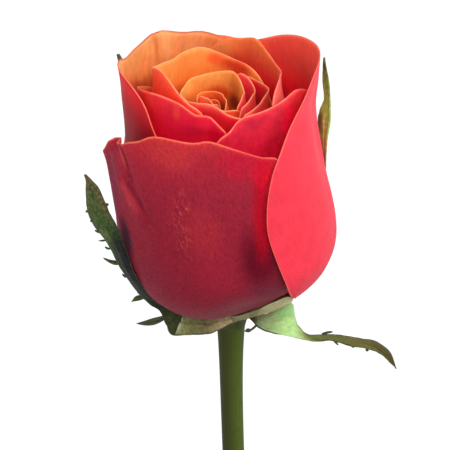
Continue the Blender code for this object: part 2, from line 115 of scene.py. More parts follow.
def evenShares(rows, radius, count, stepsPerRow=24):
    # shares of the outline at equal steps of its length
    fine = stepsPerRow * (len(rows) - 1)
    points = [along(rows, i / fine) for i in range(fine + 1)]
    lengths = [0.0]
    for a, b in zip(points, points[1:]):
        lengths.append(lengths[-1] + math.hypot(math.radians(b[0] - a[0]) * radius, b[1] - a[1]))
    shares = []
    k = 0
    for i in range(count + 1):
        target = lengths[-1] * i / count
        while k < fine - 1 and lengths[k + 1] < target:
            k += 1
        shares.append((k + (target - lengths[k]) / max(1e-6, lengths[k + 1] - lengths[k])) / fine)
    return shares


# Each outline runs up one side, along the rim and down the other: azimuth, height, flare from the body.
# "claw" and "spread" place the root. A fold is a crease or bulge along a line: azimuth, height, azimuth,
# height, half width, depth. "raised" is azimuth, half width and height of a lift of the bowl.
petals = {
    "guardBack": {
        "radius": 26.6, "claw": 88, "spread": 104, "seed": 2, "roll": 0.3, "wave": 0.15,
        "outline": [
            (38, 9, 0), (36, 28, 0), (46, 44, 0), (65, 54, 0.3), (95, 56.5, 0.6), (125, 53, 0.3),
            (143, 42, 0), (150, 27, 0), (140, 11, 0)]},
    "guardLeft": {
        "radius": 24.6, "claw": 256, "spread": 102, "seed": 1, "roll": 0.3, "wave": 0.12, "fade": 1.8,
        "raised": (280, 18, 1.5),
        "folds": [
            (188, 6, 188, 6, 9, -1.2), (216, 52, 221.5, 42, 1.0, -0.8), (221.5, 42, 231, 33, 0.9, -0.65),
            (216.5, 40, 225, 33.8, 2.3, 0.75), (219.5, 52, 224, 43, 0.7, 0.25),
            (210, 50.2, 210, 48.2, 1.2, -2.6)],
        "outline": [
            (182, 12, 0), (172, 28, -0.4), (184, 39.5, 0.2), (195.5, 43.4, 2.6), (200.6, 44.9, 3.5),
            (203.9, 47.2, 3.1), (207.6, 49.1, 3.7), (210, 49.8, 2.9), (215, 49.6, 3.0), (220.4, 50.6, 3.2),
            (224.8, 51.8, 3.3), (231, 52.9, 2.8), (241, 55, 2.0), (259, 54, 0.4), (268, 54.5, 0.2),
            (279, 53, 0.6), (295, 50, 1.2), (304, 48.5, 1.6), (318, 38, 0), (327, 22, 0), (326, 12.5, 0),
            (321, 7, 0)]},
    "guardRight": {
        "radius": 25.6, "claw": 356, "spread": 50, "seed": 4, "roll": 0.3, "wave": 0.06, "lift": 0.6,
        "folds": [
            (0, 46, 0, 35, 9, -1.5), (0, 49, 0, 45, 6, -0.75), (355, 12, 12, 12, 4, -0.4),
            (350, 54, 42, 48, 4.6, -1.1)],
        "outline": [
            (315, 7.3, 0.2), (305, 12.5, 0.2), (295, 28, 0.4), (294, 36, 0.6), (298.5, 45, 1.2),
            (306, 50.5, 1.5), (321, 57, 0.4), (337, 61.5, -0.1), (352, 63, 0), (10, 63, 0.6),
            (28, 61.8, 1.2), (45, 60, 1.8), (60, 57.5, 1.4), (75, 53.6, 0), (84, 40, -0.5), (84, 25, 0),
            (65, 9, 0)]},
    "backLeft": {
        "radius": 21.7, "claw": 165, "spread": 60, "seed": 3, "roll": 0.3, "wave": 0.06,
        "folds": [
            (127, 64, 125, 52, 1.1, -0.5), (104, 64, 108, 54, 1.6, -0.25), (150, 62, 146, 52, 2.0, 0.25)],
        "outline": [
            (232, 12, 0), (252, 28, 0), (247, 42, 0), (233, 52.5, 0.4), (225, 59, 0.1), (211, 62, -0.1),
            (192, 62.3, 0), (172, 61, 0.2), (155, 59, 0.5), (140, 60, 0.6), (126, 61.5, 0.6),
            (110, 60, 0.6), (92, 59.3, 0.6), (78, 56, 0.2), (62, 44, 0), (60, 25, 0), (85, 10, 0)]},
    "backRight": {
        "radius": 19.0, "claw": 60, "spread": 50, "seed": 5, "roll": 0.5, "wave": 0.06,
        "outline": [
            (350, 14, 0), (328, 28, 0), (316, 44, 0), (317, 54, -0.3), (322, 59, -0.9), (336, 60.6, -1.9),
            (355, 59.6, -2.8), (15, 57.8, -2.1), (33, 56.7, -0.9), (46, 58, 0.1), (58, 60, 1.1),
            (70, 59, 1.8), (84, 58, 1.8), (100, 53, 0.8), (112, 42, 0), (116, 26, 0), (106, 9, 0)]},
    "frontRight": {
        "radius": 21.4, "claw": 310, "spread": 50, "seed": 6, "roll": 0.3, "wave": 0.06,
        "outline": [
            (262, 12, 0), (256, 30, 0), (260, 43, 0), (272, 52.5, 0.2), (281, 54.5, -1.0),
            (288, 56.2, -2.2), (296, 56.6, -3.0), (306, 56.7, -2.9), (316, 57.2, -2.2), (327, 58.5, -0.8),
            (335, 59.5, 0.3), (348, 57.5, 1.2), (2, 53, 0.6), (14, 42, 0), (14, 26, 0), (356, 9, 0)]},
    "frontLeft": {
        "radius": 20.2, "claw": 240, "spread": 50, "seed": 7, "roll": 0.3, "wave": 0.06,
        "outline": [
            (284, 12, 0), (295, 28, 0), (292, 42, -0.6), (280, 53, -0.8), (274, 55.5, -1.6),
            (268, 57, -2.7), (257, 57, -3.2), (246, 59, -3.1), (236, 60, -2.6), (225, 60.3, -2.1),
            (212, 59.5, -2.0), (197, 58, -2.3), (184, 56.5, -2.4), (165, 54, -3.4), (150, 51, -3),
            (143, 42, -1), (145, 28, 0), (170, 11, 0)]},
    "innerLeft": {
        "radius": 16.0, "claw": 130, "spread": 50, "foot": 3, "seed": 8, "roll": 0.3, "wave": 0.04,
        "outline": [
            (215, 14, 0), (262, 36, 0), (270, 48, -0.3), (262, 56, -0.9), (249, 58.6, -0.9),
            (240, 60.8, -0.9), (230, 62.7, -1.4), (217, 63.7, -2.1), (203, 63.2, -2.1), (186, 61.4, -2.3),
            (165, 59.7, -2.8), (148, 58.8, -2.7), (132, 57.9, -1.9), (118, 58.4, -1.1), (100, 58.9, -0.8),
            (83, 57.2, -0.6), (68, 56, -0.9), (54, 55.4, -1.2), (40, 53.7, -1.4), (24, 49, -1.2),
            (14, 42, -0.5), (22, 30, 0), (50, 15, 0)]},
    "innerFront": {
        "radius": 13.6, "claw": 280, "spread": 50, "foot": 3, "seed": 10, "roll": 0.3, "wave": 0.04,
        "fade": 2,
        "outline": [
            (225, 16, 0), (202, 34, 0), (208, 48, -0.8), (222, 55, -1.4), (238, 57.3, -1.5),
            (255, 57.5, -1.5), (266, 57.8, -0.9), (275, 57.3, -0.3), (284, 55.8, 0.6), (296, 54.5, 1.1),
            (308, 53.8, 1.1), (322, 49, 0.4), (334, 42, 0), (336, 28, 0), (330, 12, 0)]},
    "ringRight": {
        "radius": 13.8, "claw": 0, "spread": 50, "foot": 3, "seed": 9, "roll": 0.35, "wave": 0.04,
        "fade": 2,
        "outline": [
            (300, 18, 0), (284, 36, 0), (286, 47, 0), (300, 54, 0), (312, 54.7, -0.5), (325, 55.3, -0.6),
            (338, 56, -0.7), (355, 55.5, -0.7), (12, 54.5, -0.6), (26, 53.8, -0.6), (40, 53.5, -0.6),
            (54, 53.5, -0.8), (66, 50, -1), (80, 42, -0.5), (84, 28, 0), (58, 10, 0)]},
    "ringInner": {
        "radius": 10.8, "claw": 10, "spread": 50, "foot": 20, "seed": 11, "roll": 0.3, "wave": 0.04,
        "fade": 2,
        "outline": [
            (312, 28, 0), (294, 38, 0), (296, 46, 0), (306, 54, 0), (316, 55, -0.2), (327, 55.5, -0.4),
            (340, 55.8, -0.7), (356, 54.8, -1.0), (12, 54.3, -0.8), (27, 54.5, -0.5), (40, 55.2, -0.3),
            (54, 55.2, -0.3), (70, 52, -0.4), (90, 42, 0), (94, 32, 0), (65, 24, 0)]},
    "cupFront": {
        "radius": 9.2, "claw": 280, "spread": 40, "foot": 22, "seed": 13, "roll": 0.2, "wave": 0.03,
        "fade": 2,
        "outline": [
            (225, 28, -1), (205, 40, -3), (212, 50, -4.1), (228, 55, -4.1), (248, 55.3, -4.4),
            (262, 55, -4.1), (271, 54.7, -2.2), (279, 54.4, -0.6), (290, 54, -0.1), (302, 54, 0.3),
            (312, 52.5, 0.3), (322, 44, 0), (326, 32, 0)]},
    "cupLeft": {
        "radius": 9.0, "claw": 120, "spread": 50, "foot": 22, "seed": 12, "roll": 0.25, "wave": 0.04,
        "fade": 2,
        "outline": [
            (205, 30, 0), (238, 40, 0), (243, 47, -0.4), (232, 54, -0.8), (218, 55.2, -0.9),
            (204, 55, -1.2), (186, 54.2, -1.4), (165, 53.6, -1.0), (144, 53.6, -0.5), (128, 54.4, 0),
            (110, 54.6, 0.2), (92, 55, 0.3), (76, 55.5, 0.3), (60, 56, 0.2), (46, 55.5, -0.4),
            (28, 54.6, -1.2), (8, 54.2, -1.6), (350, 54.8, -1.5), (335, 55.4, -1.3), (322, 54.8, -0.8),
            (309, 53, -0.5), (305, 46, -0.3), (318, 36, 0), (350, 28, 0)]},
    "heartOuter": {
        "radius": 4.0, "claw": 60, "spread": 30, "foot": 36, "seed": 14, "roll": 0.15, "wave": 0.02,
        "fade": 2,
        "outline": [
            (170, 40, 0), (190, 46, 0), (170, 52, 0), (140, 53, 0), (110, 53, -0.3), (87, 53, -0.5),
            (50, 53, -1), (8, 53, -1.5), (340, 53, -0.8), (320, 53, -0.2), (300, 52, 1.0), (290, 46, 1),
            (300, 40, 0)]},
    "heartMiddle": {
        "radius": 2.8, "claw": 240, "spread": 30, "foot": 36, "seed": 15, "roll": 0.1, "wave": 0.02,
        "fade": 2,
        "outline": [
            (335, 40, 0), (340, 46, 0), (310, 51.5, -0.6), (270, 52.6, -0.4), (230, 52.4, -0.2),
            (190, 51.5, -0.4), (150, 47, 0), (145, 40, 0)]},
    "heartInner": {
        "radius": 1.4, "claw": 90, "spread": 30, "foot": 36, "seed": 16, "roll": 0.05, "wave": 0, "fade": 2,
        "outline": [
            (0, 40, 0), (-20, 46, 0), (20, 51, 0), (90, 52, -0.1), (160, 51, 0), (200, 46, 0), (180, 40, 0)]}}
petalGrid = {"columns": 96, "rows": 44, "thickness": 0.42, "rimShare": 0.45, "rimFall": 8, "sideFall": 30}
# Shared form. A ripple is size, turns and shift. The swell is a slow wave, finer on the small petals.
petalForm = {
    "foot": 0.6, "fade": 2.5, "ripples": [(0.6, 17, 1.0), (0.4, 31, 2.3)], "rollStart": 0.9, "rollDrop": 0.35,
    "swell": 0.35, "swellAcross": 0.02, "swellUp": 0.045, "swellShift": 7.3, "fullRadius": 20}


def titled(name):
    return name[0].upper() + name[1:]


def prepared(petal):
    petal["outline"] = unwound(petal["outline"])
    rows = petal["outline"]
    petal["middle"] = sum(row[0] for row in rows) / len(rows)
    petal["claw"] = nearTo(petal["claw"], petal["middle"])
    if rows[-1][0] < rows[0][0]:
        petal["spread"] = -petal["spread"]


def foldOffset(petal, azimuth, height):
    total = 0.0
    scale = math.radians(1) * petal["radius"]
    for fromAzimuth, fromHeight, toAzimuth, toHeight, halfWidth, depth in petal.get("folds", []):
        line = Vector(((toAzimuth - fromAzimuth) * scale, toHeight - fromHeight))
        spot = Vector((turnFrom(fromAzimuth, azimuth) * scale, height - fromHeight))
        share = min(1.0, max(0.0, spot.dot(line) / max(1e-6, line.length_squared)))
        total += depth * math.exp(-((line * share - spot).length / halfWidth) ** 2)
    return total


def petalSpot(petal, share, rise):
    # azimuth, radius and height of a point on a petal's middle surface
    azimuth, height, flare = along(petal["outline"], share)
    foot = petal.get("foot", petalForm["foot"])
    root = petal["claw"] + (share - 0.5) * petal["spread"]
    azimuth = root + (azimuth - root) * rise
    height = foot + (height - foot) * rise
    radius = bodyRadius(height, petal["radius"]) + flare * rise ** petal.get("fade", petalForm["fade"])
    radius += foldOffset(petal, azimuth, height)
    for size, turns, shift in petalForm["ripples"]:
        radius += petal["wave"] * size * math.sin(share * turns + petal["seed"] * shift) * rise ** 4
    rolled = max(0.0, (rise - petalForm["rollStart"]) / (1 - petalForm["rollStart"])) ** 2
    radius += petal["roll"] * rolled
    height -= petalForm["rollDrop"] * petal["roll"] * rolled
    size = petal["radius"] / petalForm["fullRadius"]
    swell = noise.noise(Vector((
        azimuth * petalForm["swellAcross"] * size, height * petalForm["swellUp"],
        petal["seed"] * petalForm["swellShift"])))
    radius += petalForm["swell"] * swell * min(1.0, size) * math.sin(math.pi * min(1, rise))
    return azimuth, radius, height


def linkMesh(name, bm):
    mesh = bpy.data.meshes.new(name)
    bm.to_mesh(mesh)
    bm.free()
    thing = bpy.data.objects.new(name, mesh)
    bpy.context.scene.collection.objects.link(thing)
    return thing


def keepOffSurface(vertices):
    # nothing reaches below the surface that the flower lies on
    for vert in vertices:
        vert.co.z = max(vert.co.z, 0)


def walled(thing, thickness, materials):
    # gives a sheet its wall, thinner where its weights fall. Materials: outer face, inner face, rim.
    for material in materials:
        thing.data.materials.append(material)
    thing.vertex_groups.new(name="thick")
    wall = thing.modifiers.new("wall", "SOLIDIFY")
    wall.thickness = thickness * mm
    wall.offset = 0
    wall.vertex_group = "thick"
    wall.material_offset = 1
    wall.material_offset_rim = 2
    graph = bpy.context.evaluated_depsgraph_get()
    made = bpy.data.meshes.new_from_object(thing.evaluated_get(graph))
    thing.modifiers.clear()
    thing.data = made
    keepOffSurface(thing.data.vertices)
    thing.data.shade_smooth()


def makePetal(name, petal, materials):
    columns, rows = petalGrid["columns"], petalGrid["rows"]
    shares = evenShares(petal["outline"], petal["radius"], columns)
    bm = bmesh.new()
    bmesh.ops.create_grid(bm, x_segments=columns, y_segments=rows, size=0.5)
    rays = bm.loops.layers.uv.new("rays")  # share of the rim and rise from the root
    place = bm.loops.layers.uv.new("place")  # where it lies on the unrolled body, 1 for 100 mm
    thin = bm.verts.layers.deform.new()
    spots = {}
    arc = math.radians(petal["radius"])
    for vert in bm.verts:
        column, rise = round((vert.co.x + 0.5) * columns), vert.co.y + 0.5
        spots[vert] = (column / columns, rise, *petalSpot(petal, shares[column], rise))
    for face in bm.faces:
        for loop in face.loops:
            share, rise, azimuth, radius, height = spots[loop.vert]
            loop[rays].uv = (share, rise)
            loop[place].uv = (azimuth * arc / 100, height / 100)
    for vert, (share, rise, azimuth, radius, height) in spots.items():
        vert.co = polar(azimuth, radius, height + bowlLift(petal, azimuth, radius, height))
        sides = min(share, 1 - share) * petalGrid["sideFall"]
        vert[thin][0] = max(petalGrid["rimShare"], min(1.0, (1 - rise) * petalGrid["rimFall"], sides))
    bm.normal_update()
    outward = 0.0
    for face in bm.faces:
        centre = face.calc_center_median()
        outward += face.normal.dot(Vector((centre.x - body["lean"] * centre.z, centre.y, 0)))
    if outward < 0:
        bmesh.ops.reverse_faces(bm, faces=bm.faces[:])
    for vert in bm.verts:
        vert.co = laid(vert.co)
    thing = linkMesh(name, bm)
    walled(thing, petalGrid["thickness"], materials)
    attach(thing, "root")
    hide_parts("bloom")


# Materials

reliefDepth = 0.0002
glowReach = {"radius": (1.0, 0.2, 0.1), "scale": 0.002}
bands = {"shade": (0.35, 0.65), "fibre": (0.52, 0.66), "rim": (0.991, 0.998)}
# A soft spot is full within one share of its half widths and clear beyond the other.
spotEdge = {"clear": 1.35, "full": 0.2}


def tint(red, green, blue):
    # a colour named by its display values, 0 to 255
    return tuple(
        (c / 12.92 if c <= 0.04045 else ((c + 0.055) / 1.055) ** 2.4)
        for c in (red / 255, green / 255, blue / 255))


def newMaterial(name, roughness, specular):
    material = bpy.data.materials.new(name)
    material.use_nodes = True
    nodes = material.node_tree.nodes
    shader = nodes["Principled BSDF"]
    shader.inputs["Roughness"].default_value = roughness
    shader.inputs["Specular IOR Level"].default_value = specular
    return material, nodes, material.node_tree.links, shader


def rampOf(nodes, links, source, stops):
    ramp = nodes.new("ShaderNodeValToRGB")
    points = ramp.color_ramp.elements
    while len(points) < len(stops):
        points.new(0.5)
    for point, (position, colour) in zip(points, stops):
        point.position = position
        point.color = (*colour, 1)
    links.new(source, ramp.inputs[0])
    return ramp.outputs[0]


def newGroup(name, inputs, outputs):
    group = bpy.data.node_groups.new(name, "ShaderNodeTree")
    for label, value in inputs:
        socket = group.interface.new_socket(name=label, in_out="INPUT", socket_type="NodeSocketFloat")
        socket.default_value = value
    for label in outputs:
        group.interface.new_socket(name=label, in_out="OUTPUT", socket_type="NodeSocketFloat")
    nodes = group.nodes
    return group, nodes, group.links, nodes.new("NodeGroupInput"), nodes.new("NodeGroupOutput")


def placedGroup(nodes, group, values):
    node = nodes.new("ShaderNodeGroup")
    node.node_tree = group
    for socket, value in zip(node.inputs, values):
        socket.default_value = value
    return node.outputs


def mathNode(nodes, links, operation, first, second):
    node = nodes.new("ShaderNodeMath")
    node.operation = operation
    for socket, value in zip(node.inputs, (first, second)):
        if isinstance(value, bpy.types.NodeSocket):
            links.new(value, socket)
        else:
            socket.default_value = value
    return node.outputs[0]


def mapOf(nodes, name):
    source = nodes.new("ShaderNodeUVMap")
    source.uv_map = name
    return source.outputs[0]


def mapAxes(nodes, links, name):
    # x, y and z of a UV map
    split = nodes.new("ShaderNodeSeparateXYZ")
    links.new(mapOf(nodes, name), split.inputs[0])
    return split.outputs


def noiseNode(nodes, links, vector, scale, detail, roughness=0.5, distortion=0.0):
    grain = nodes.new("ShaderNodeTexNoise")
    for label, value in (("Detail", detail), ("Roughness", roughness), ("Distortion", distortion)):
        grain.inputs[label].default_value = value
    if isinstance(scale, bpy.types.NodeSocket):
        links.new(scale, grain.inputs["Scale"])
    else:
        grain.inputs["Scale"].default_value = scale
    links.new(vector, grain.inputs["Vector"])
    return grain.outputs[0]


def addRelief(nodes, links, shader, height, strength):
    relief = nodes.new("ShaderNodeBump")
    relief.inputs["Strength"].default_value = strength
    relief.inputs["Distance"].default_value = reliefDepth
    links.new(height, relief.inputs["Height"])
    links.new(relief.outputs[0], shader.inputs["Normal"])


def makeFibreGroup():
    # fine fibres that fan out from a petal's or leaf's root, with a soft mottle over them
    group, nodes, links, given, result = newGroup(
        "fanFibres", [("Across", 110.0), ("Along", 11.0), ("Mottle", 260.0)], ["Fibre", "Mottle", "Height"])
    size = nodes.new("ShaderNodeCombineXYZ")
    links.new(given.outputs["Across"], size.inputs[0])
    links.new(given.outputs["Along"], size.inputs[1])
    scaled = nodes.new("ShaderNodeVectorMath")
    scaled.operation = "MULTIPLY"
    links.new(mapOf(nodes, "rays"), scaled.inputs[0])
    links.new(size.outputs[0], scaled.inputs[1])
    fibre = noiseNode(
        nodes, links, scaled.outputs[0], scale=1.0, detail=3.0, roughness=0.6, distortion=1.1)
    spot = nodes.new("ShaderNodeTexCoord")
    mottle = noiseNode(
        nodes, links, spot.outputs["Object"], given.outputs["Mottle"], detail=4.0, roughness=0.6)
    links.new(fibre, result.inputs["Fibre"])
    links.new(mottle, result.inputs["Mottle"])
    links.new(mathNode(nodes, links, "ADD", fibre, mottle), result.inputs["Height"])
    return group


def makeSpotGroup():
    # a soft-edged ellipse on the "place" map
    group, nodes, links, given, result = newGroup(
        "softSpot",
        [("Centre X", 0.0), ("Centre Y", 0.0), ("Half Width", 0.05), ("Half Height", 0.05), ("Turn", 0.0),
         ("Ragged", 0.3), ("Strength", 1.0)],
        ["Mask"])
    place = mapOf(nodes, "place")
    centre, half = nodes.new("ShaderNodeCombineXYZ"), nodes.new("ShaderNodeCombineXYZ")
    for node, labels in ((centre, ("Centre X", "Centre Y")), (half, ("Half Width", "Half Height"))):
        for socket, label in zip(node.inputs, labels):
            links.new(given.outputs[label], socket)
    half.inputs[2].default_value = 1.0
    turn = nodes.new("ShaderNodeVectorRotate")
    turn.rotation_type = "Z_AXIS"
    links.new(place, turn.inputs["Vector"])
    links.new(centre.outputs[0], turn.inputs["Center"])
    links.new(mathNode(nodes, links, "MULTIPLY", given.outputs["Turn"], -1.0), turn.inputs["Angle"])
    aside, scaled, length = (nodes.new("ShaderNodeVectorMath") for _ in range(3))
    aside.operation, scaled.operation, length.operation = "SUBTRACT", "DIVIDE", "LENGTH"
    links.new(turn.outputs[0], aside.inputs[0])
    links.new(centre.outputs[0], aside.inputs[1])
    links.new(aside.outputs[0], scaled.inputs[0])
    links.new(half.outputs[0], scaled.inputs[1])
    links.new(scaled.outputs[0], length.inputs[0])
    wobble = noiseNode(nodes, links, place, scale=45.0, detail=3.0)
    shift = mathNode(nodes, links, "SUBTRACT", wobble, 0.5)
    shift = mathNode(nodes, links, "MULTIPLY", shift, given.outputs["Ragged"])
    reach = mathNode(nodes, links, "ADD", length.outputs[1], shift)
    soft = nodes.new("ShaderNodeMapRange")
    soft.interpolation_type = "SMOOTHERSTEP"
    soft.inputs["From Min"].default_value = spotEdge["clear"]
    soft.inputs["From Max"].default_value = spotEdge["full"]
    links.new(reach, soft.inputs["Value"])
    links.new(given.outputs["Strength"], soft.inputs["To Max"])
    links.new(soft.outputs[0], result.inputs["Mask"])
    return group


fanFibres = makeFibreGroup()
softSpot = makeSpotGroup()


def mixInto(nodes, links, factor, first, second, blend="MIX"):
    mix = nodes.new("ShaderNodeMix")
    mix.data_type = "RGBA"
    mix.blend_type = blend
    for socket, value in ((mix.inputs["Factor"], factor), (mix.inputs[6], first), (mix.inputs[7], second)):
        if isinstance(value, bpy.types.NodeSocket):
            links.new(value, socket)
        elif isinstance(value, tuple):
            socket.default_value = (*value, 1)
        else:
            socket.default_value = value
    return mix.outputs[2]


def stretched(nodes, links, value, band, toLow=0.0, toHigh=1.0):
    # takes a mask from its band to toLow..toHigh
    ranged = nodes.new("ShaderNodeMapRange")
    ends = {"From Min": band[0], "From Max": band[1], "To Min": toLow, "To Max": toHigh}
    for label, number in ends.items():
        ranged.inputs[label].default_value = number
    links.new(value, ranged.inputs["Value"])
    return ranged.outputs[0]


def skin(name, levels, spots, look):
    # levels: colours by height on the "place" map. spots: soft ellipses of colour over them. Some of both are
    # painted shade, shadow, glow and highlights.
    material, nodes, links, shader = newMaterial(name, look["roughness"], specular=0.06)
    colour = rampOf(nodes, links, mapAxes(nodes, links, "place")[1], levels)
    fibres = placedGroup(nodes, fanFibres, look["grain"])
    fibreMask = stretched(nodes, links, fibres["Fibre"], bands["fibre"])
    # A band along the rim: a painted highlight where light catches the thin edge; on the back left petal's
    # inner face it is the curled rim's outer red.
    if "rim" in look:
        rimMask = stretched(nodes, links, mapAxes(nodes, links, "rays")[1], bands["rim"])
        colour = mixInto(nodes, links, rimMask, colour, tint(*look["rim"]))
    for centre, half, turn, strength, over, onFibres in spots:
        values = (*centre, *half, math.radians(turn), look["ragged"], strength)
        mask = placedGroup(nodes, softSpot, values)["Mask"]
        if onFibres:
            mask = mathNode(nodes, links, "MULTIPLY", mask, fibreMask)
        colour = mixInto(nodes, links, mask, colour, over)
    for label, amount in (("Fibre", look["fibre"]), ("Mottle", look["mottle"])):
        shade = stretched(nodes, links, fibres[label], bands["shade"], 1 - amount, 1 + amount)
        grey = nodes.new("ShaderNodeCombineXYZ")
        for socket in grey.inputs:
            links.new(shade, socket)
        colour = mixInto(nodes, links, 1.0, colour, grey.outputs[0], "MULTIPLY")
    links.new(colour, shader.inputs["Base Color"])
    shader.inputs["Sheen Weight"].default_value = look["sheen"]
    shader.inputs["Sheen Roughness"].default_value = 0.4
    shader.inputs["Subsurface Weight"].default_value = look["glow"]
    shader.inputs["Subsurface Radius"].default_value = glowReach["radius"]
    shader.inputs["Subsurface Scale"].default_value = glowReach["scale"]
    addRelief(nodes, links, shader, fibres["Height"], look["bump"])
    return material


# What a petal's look has unless it says otherwise. grain: fibres across and along, and the mottle's scale.
# rim: the colour of the band along the rim, mostly a painted highlight.
plainPetal = {
    "fibre": 0.05, "mottle": 0.06, "roughness": 0.6, "bump": 0.12, "glow": 0.35, "sheen": 0.02,
    "grain": (110, 11, 260), "ragged": 0.3, "rim": (248, 122, 96), "spots": []}


def petalSkin(name, petal, look):
    # a spot: azimuth, height, half width, half height, turn, strength, colour, and "fibre" for fibres only
    look = {**plainPetal, **look}
    arc = math.radians(petal["radius"])
    spots = []
    for azimuth, height, halfWidth, halfHeight, turn, strength, colour, *fibre in look["spots"]:
        centre = (nearTo(azimuth, petal["middle"]) * arc / 100, height / 100)
        half = (halfWidth / 100, halfHeight / 100)
        spots.append((centre, half, turn, strength, tint(*colour), bool(fibre)))
    levels = [(height / 100, tint(*colour)) for height, colour in look["levels"]]
    return skin(name, levels, spots, look)


# Colours by height in mm, lowest first, on each petal's outer and inner face.
outerLooks = {
    "guardLeft": {
        # Its red darkens towards the root: painted shade for light falling from the bloom's top.
        "levels": [
            (2, (122, 36, 47)), (12, (130, 28, 47)), (28, (139, 28, 47)), (40, (146, 31, 50)),
            (50, (167, 35, 53)), (55, (190, 50, 54))],
        "fibre": 0.15, "mottle": 0.07, "bump": 1.0, "grain": (190, 40, 1100), "rim": (226, 104, 82),
        "spots": [
            # Spots at (289, 24) and (296, 14): painted shadow cast by the right guard petal's edge.
            (266, 22, 6, 9, 0, 0.4, (158, 30, 52)), (289, 24, 5, 10, 5, 0.9, (90, 2, 24)),
            (296, 14, 6, 7, 0, 0.7, (108, 24, 42)), (291, 15, 5, 1.4, -15, 0.4, (96, 34, 60)),
            # Spots at (292.5, 36) and (296, 46): a saturated red strip by that edge, painted shade with a
            # painted glow of light through the right guard petal.
            (292.5, 36, 2.6, 13, -4, 0.85, (170, 0, 26)), (296, 46, 3.5, 5, 0, 0.7, (205, 8, 36)),
            (284, 49, 6, 5, 0, 0.6, (184, 18, 50)), (247, 50, 6, 4, 0, 0.5, (190, 54, 52)),
            (251, 34, 2.4, 9, 0, 0.34, (232, 104, 66), "fibre"), (227, 17, 8, 7, 0, 0.4, (126, 32, 52)),
            # Spot at (204, 34): painted purple sheen along the left side. (221, 37.4): painted highlight on
            # the bulge.
            (204, 34, 3.8, 16, -8, 0.65, (122, 48, 70)), (221, 37.4, 1.7, 4.6, 38, 0.7, (184, 52, 64)),
            # Spots at (226.2, 37.2) and (218, 47): painted shade in the creases.
            (226.2, 37.2, 0.8, 6.5, 38, 0.6, (104, 18, 38)), (218, 47, 0.9, 5.5, 12, 0.75, (126, 20, 36)),
            # Spot at (213.8, 25.6): painted shadow of the left sepal.
            (213.8, 25.6, 2.4, 5.8, 6, 0.95, (50, 14, 36)),
            # Spot at (216.6, 46.6): painted highlight on the lit wall of a crease.
            (216.6, 46.6, 0.4, 3.2, 17, 0.35, (226, 96, 84)), (262, 32, 5, 7, 0, 0.35, (176, 44, 50)),
            (211, 50.6, 1.2, 0.8, 0, 0.6, (236, 130, 96))]},
    "guardRight": {
        "levels": [(5, (216, 48, 68)), (20, (236, 56, 74)), (40, (241, 57, 74)), (60, (242, 62, 78))],
        "fibre": 0.07, "mottle": 0.07, "bump": 0.15, "rim": (246, 100, 90),
        "spots": [
            (5, 33, 9, 18, 0, 0.8, (245, 45, 67)), (14, 20, 7, 8, 0, 0.5, (214, 46, 66)),
            (345, 11, 7, 4, 10, 0.3, (170, 45, 74)), (350, 17, 5, 6, 0, 0.5, (208, 44, 68)),
            (352, 45, 4, 9, 0, 0.3, (226, 44, 66)), (311, 11, 0.5, 4, -10, 0.5, (200, 50, 60))]},
    "backLeft": {
        "levels": [(30, (130, 5, 22)), (45, (138, 4, 24)), (54, (156, 5, 24)), (59, (200, 16, 28))],
        "spots": [(184, 48, 3.0, 12, 0, 0.5, (110, 34, 60)), (206, 46, 3, 4, 0, 0.3, (190, 14, 36))]},
    "frontLeft": {
        "levels": [(44, (200, 12, 48)), (51, (216, 16, 50)), (55, (208, 24, 54)), (59, (214, 46, 58))],
        "mottle": 0.1,
        "spots": [
            (242, 57.4, 1.3, 2.6, 0, 0.5, (234, 72, 58)), (264, 55, 2.6, 1.8, 0, 0.7, (236, 30, 62)),
            (252, 52.8, 4, 1.4, 0, 0.4, (160, 6, 50)), (272, 52.5, 3, 2, 0, 0.7, (190, 0, 40)),
            (217, 58, 2, 2.5, 0, 0.6, (215, 62, 50))]},
    "cupFront": {
        "levels": [(45, (200, 50, 36)), (53, (234, 84, 48)), (56, (244, 110, 72))], "rim": (250, 146, 104)},
    "heartOuter": {"levels": [(46, (200, 60, 30)), (53, (240, 104, 58))], "rim": (250, 156, 104)},
    "heartMiddle": {"levels": [(46, (200, 60, 30)), (53, (240, 104, 58))], "rim": (250, 156, 104)},
    "heartInner": {"levels": [(46, (200, 60, 30)), (53, (236, 96, 54))], "rim": (250, 150, 104)},
    "innerLeft": {"levels": [(50, (215, 40, 40)), (57, (240, 62, 50)), (62, (246, 84, 54))]},
    "frontRight": {
        # Its bright low level and the spot at (330, 52): painted glow of light shining through the right
        # guard petal, where that petal's edge shades this one.
        "levels": [(44, (250, 24, 66)), (50, (204, 25, 54)), (55, (208, 40, 62)), (60, (230, 68, 76))],
        "mottle": 0.14, "grain": (110, 20, 480), "rim": (246, 118, 96), "glow": 0.7,
        "spots": [
            (300, 54.2, 3.4, 1.7, -8, 0.5, (150, 28, 60)), (310, 54.4, 3, 1.3, 0, 0.35, (170, 30, 60)),
            (288, 52.5, 1.6, 2.4, 0, 0.5, (184, 24, 48)), (330, 52, 3.4, 5, 0, 0.85, (255, 14, 56))]},
    "innerFront": {
        "levels": [(50, (205, 16, 36)), (55, (224, 36, 52)), (58, (244, 96, 84))], "rim": (248, 128, 100)},
    "backRight": {
        "levels": [(40, (170, 30, 40)), (50, (236, 74, 84)), (57, (246, 100, 96))], "rim": (246, 132, 100)}}
dullOuter = {
    "levels": [(10, (150, 26, 42)), (45, (226, 40, 56)), (53, (240, 68, 76)), (57, (244, 100, 84))]}
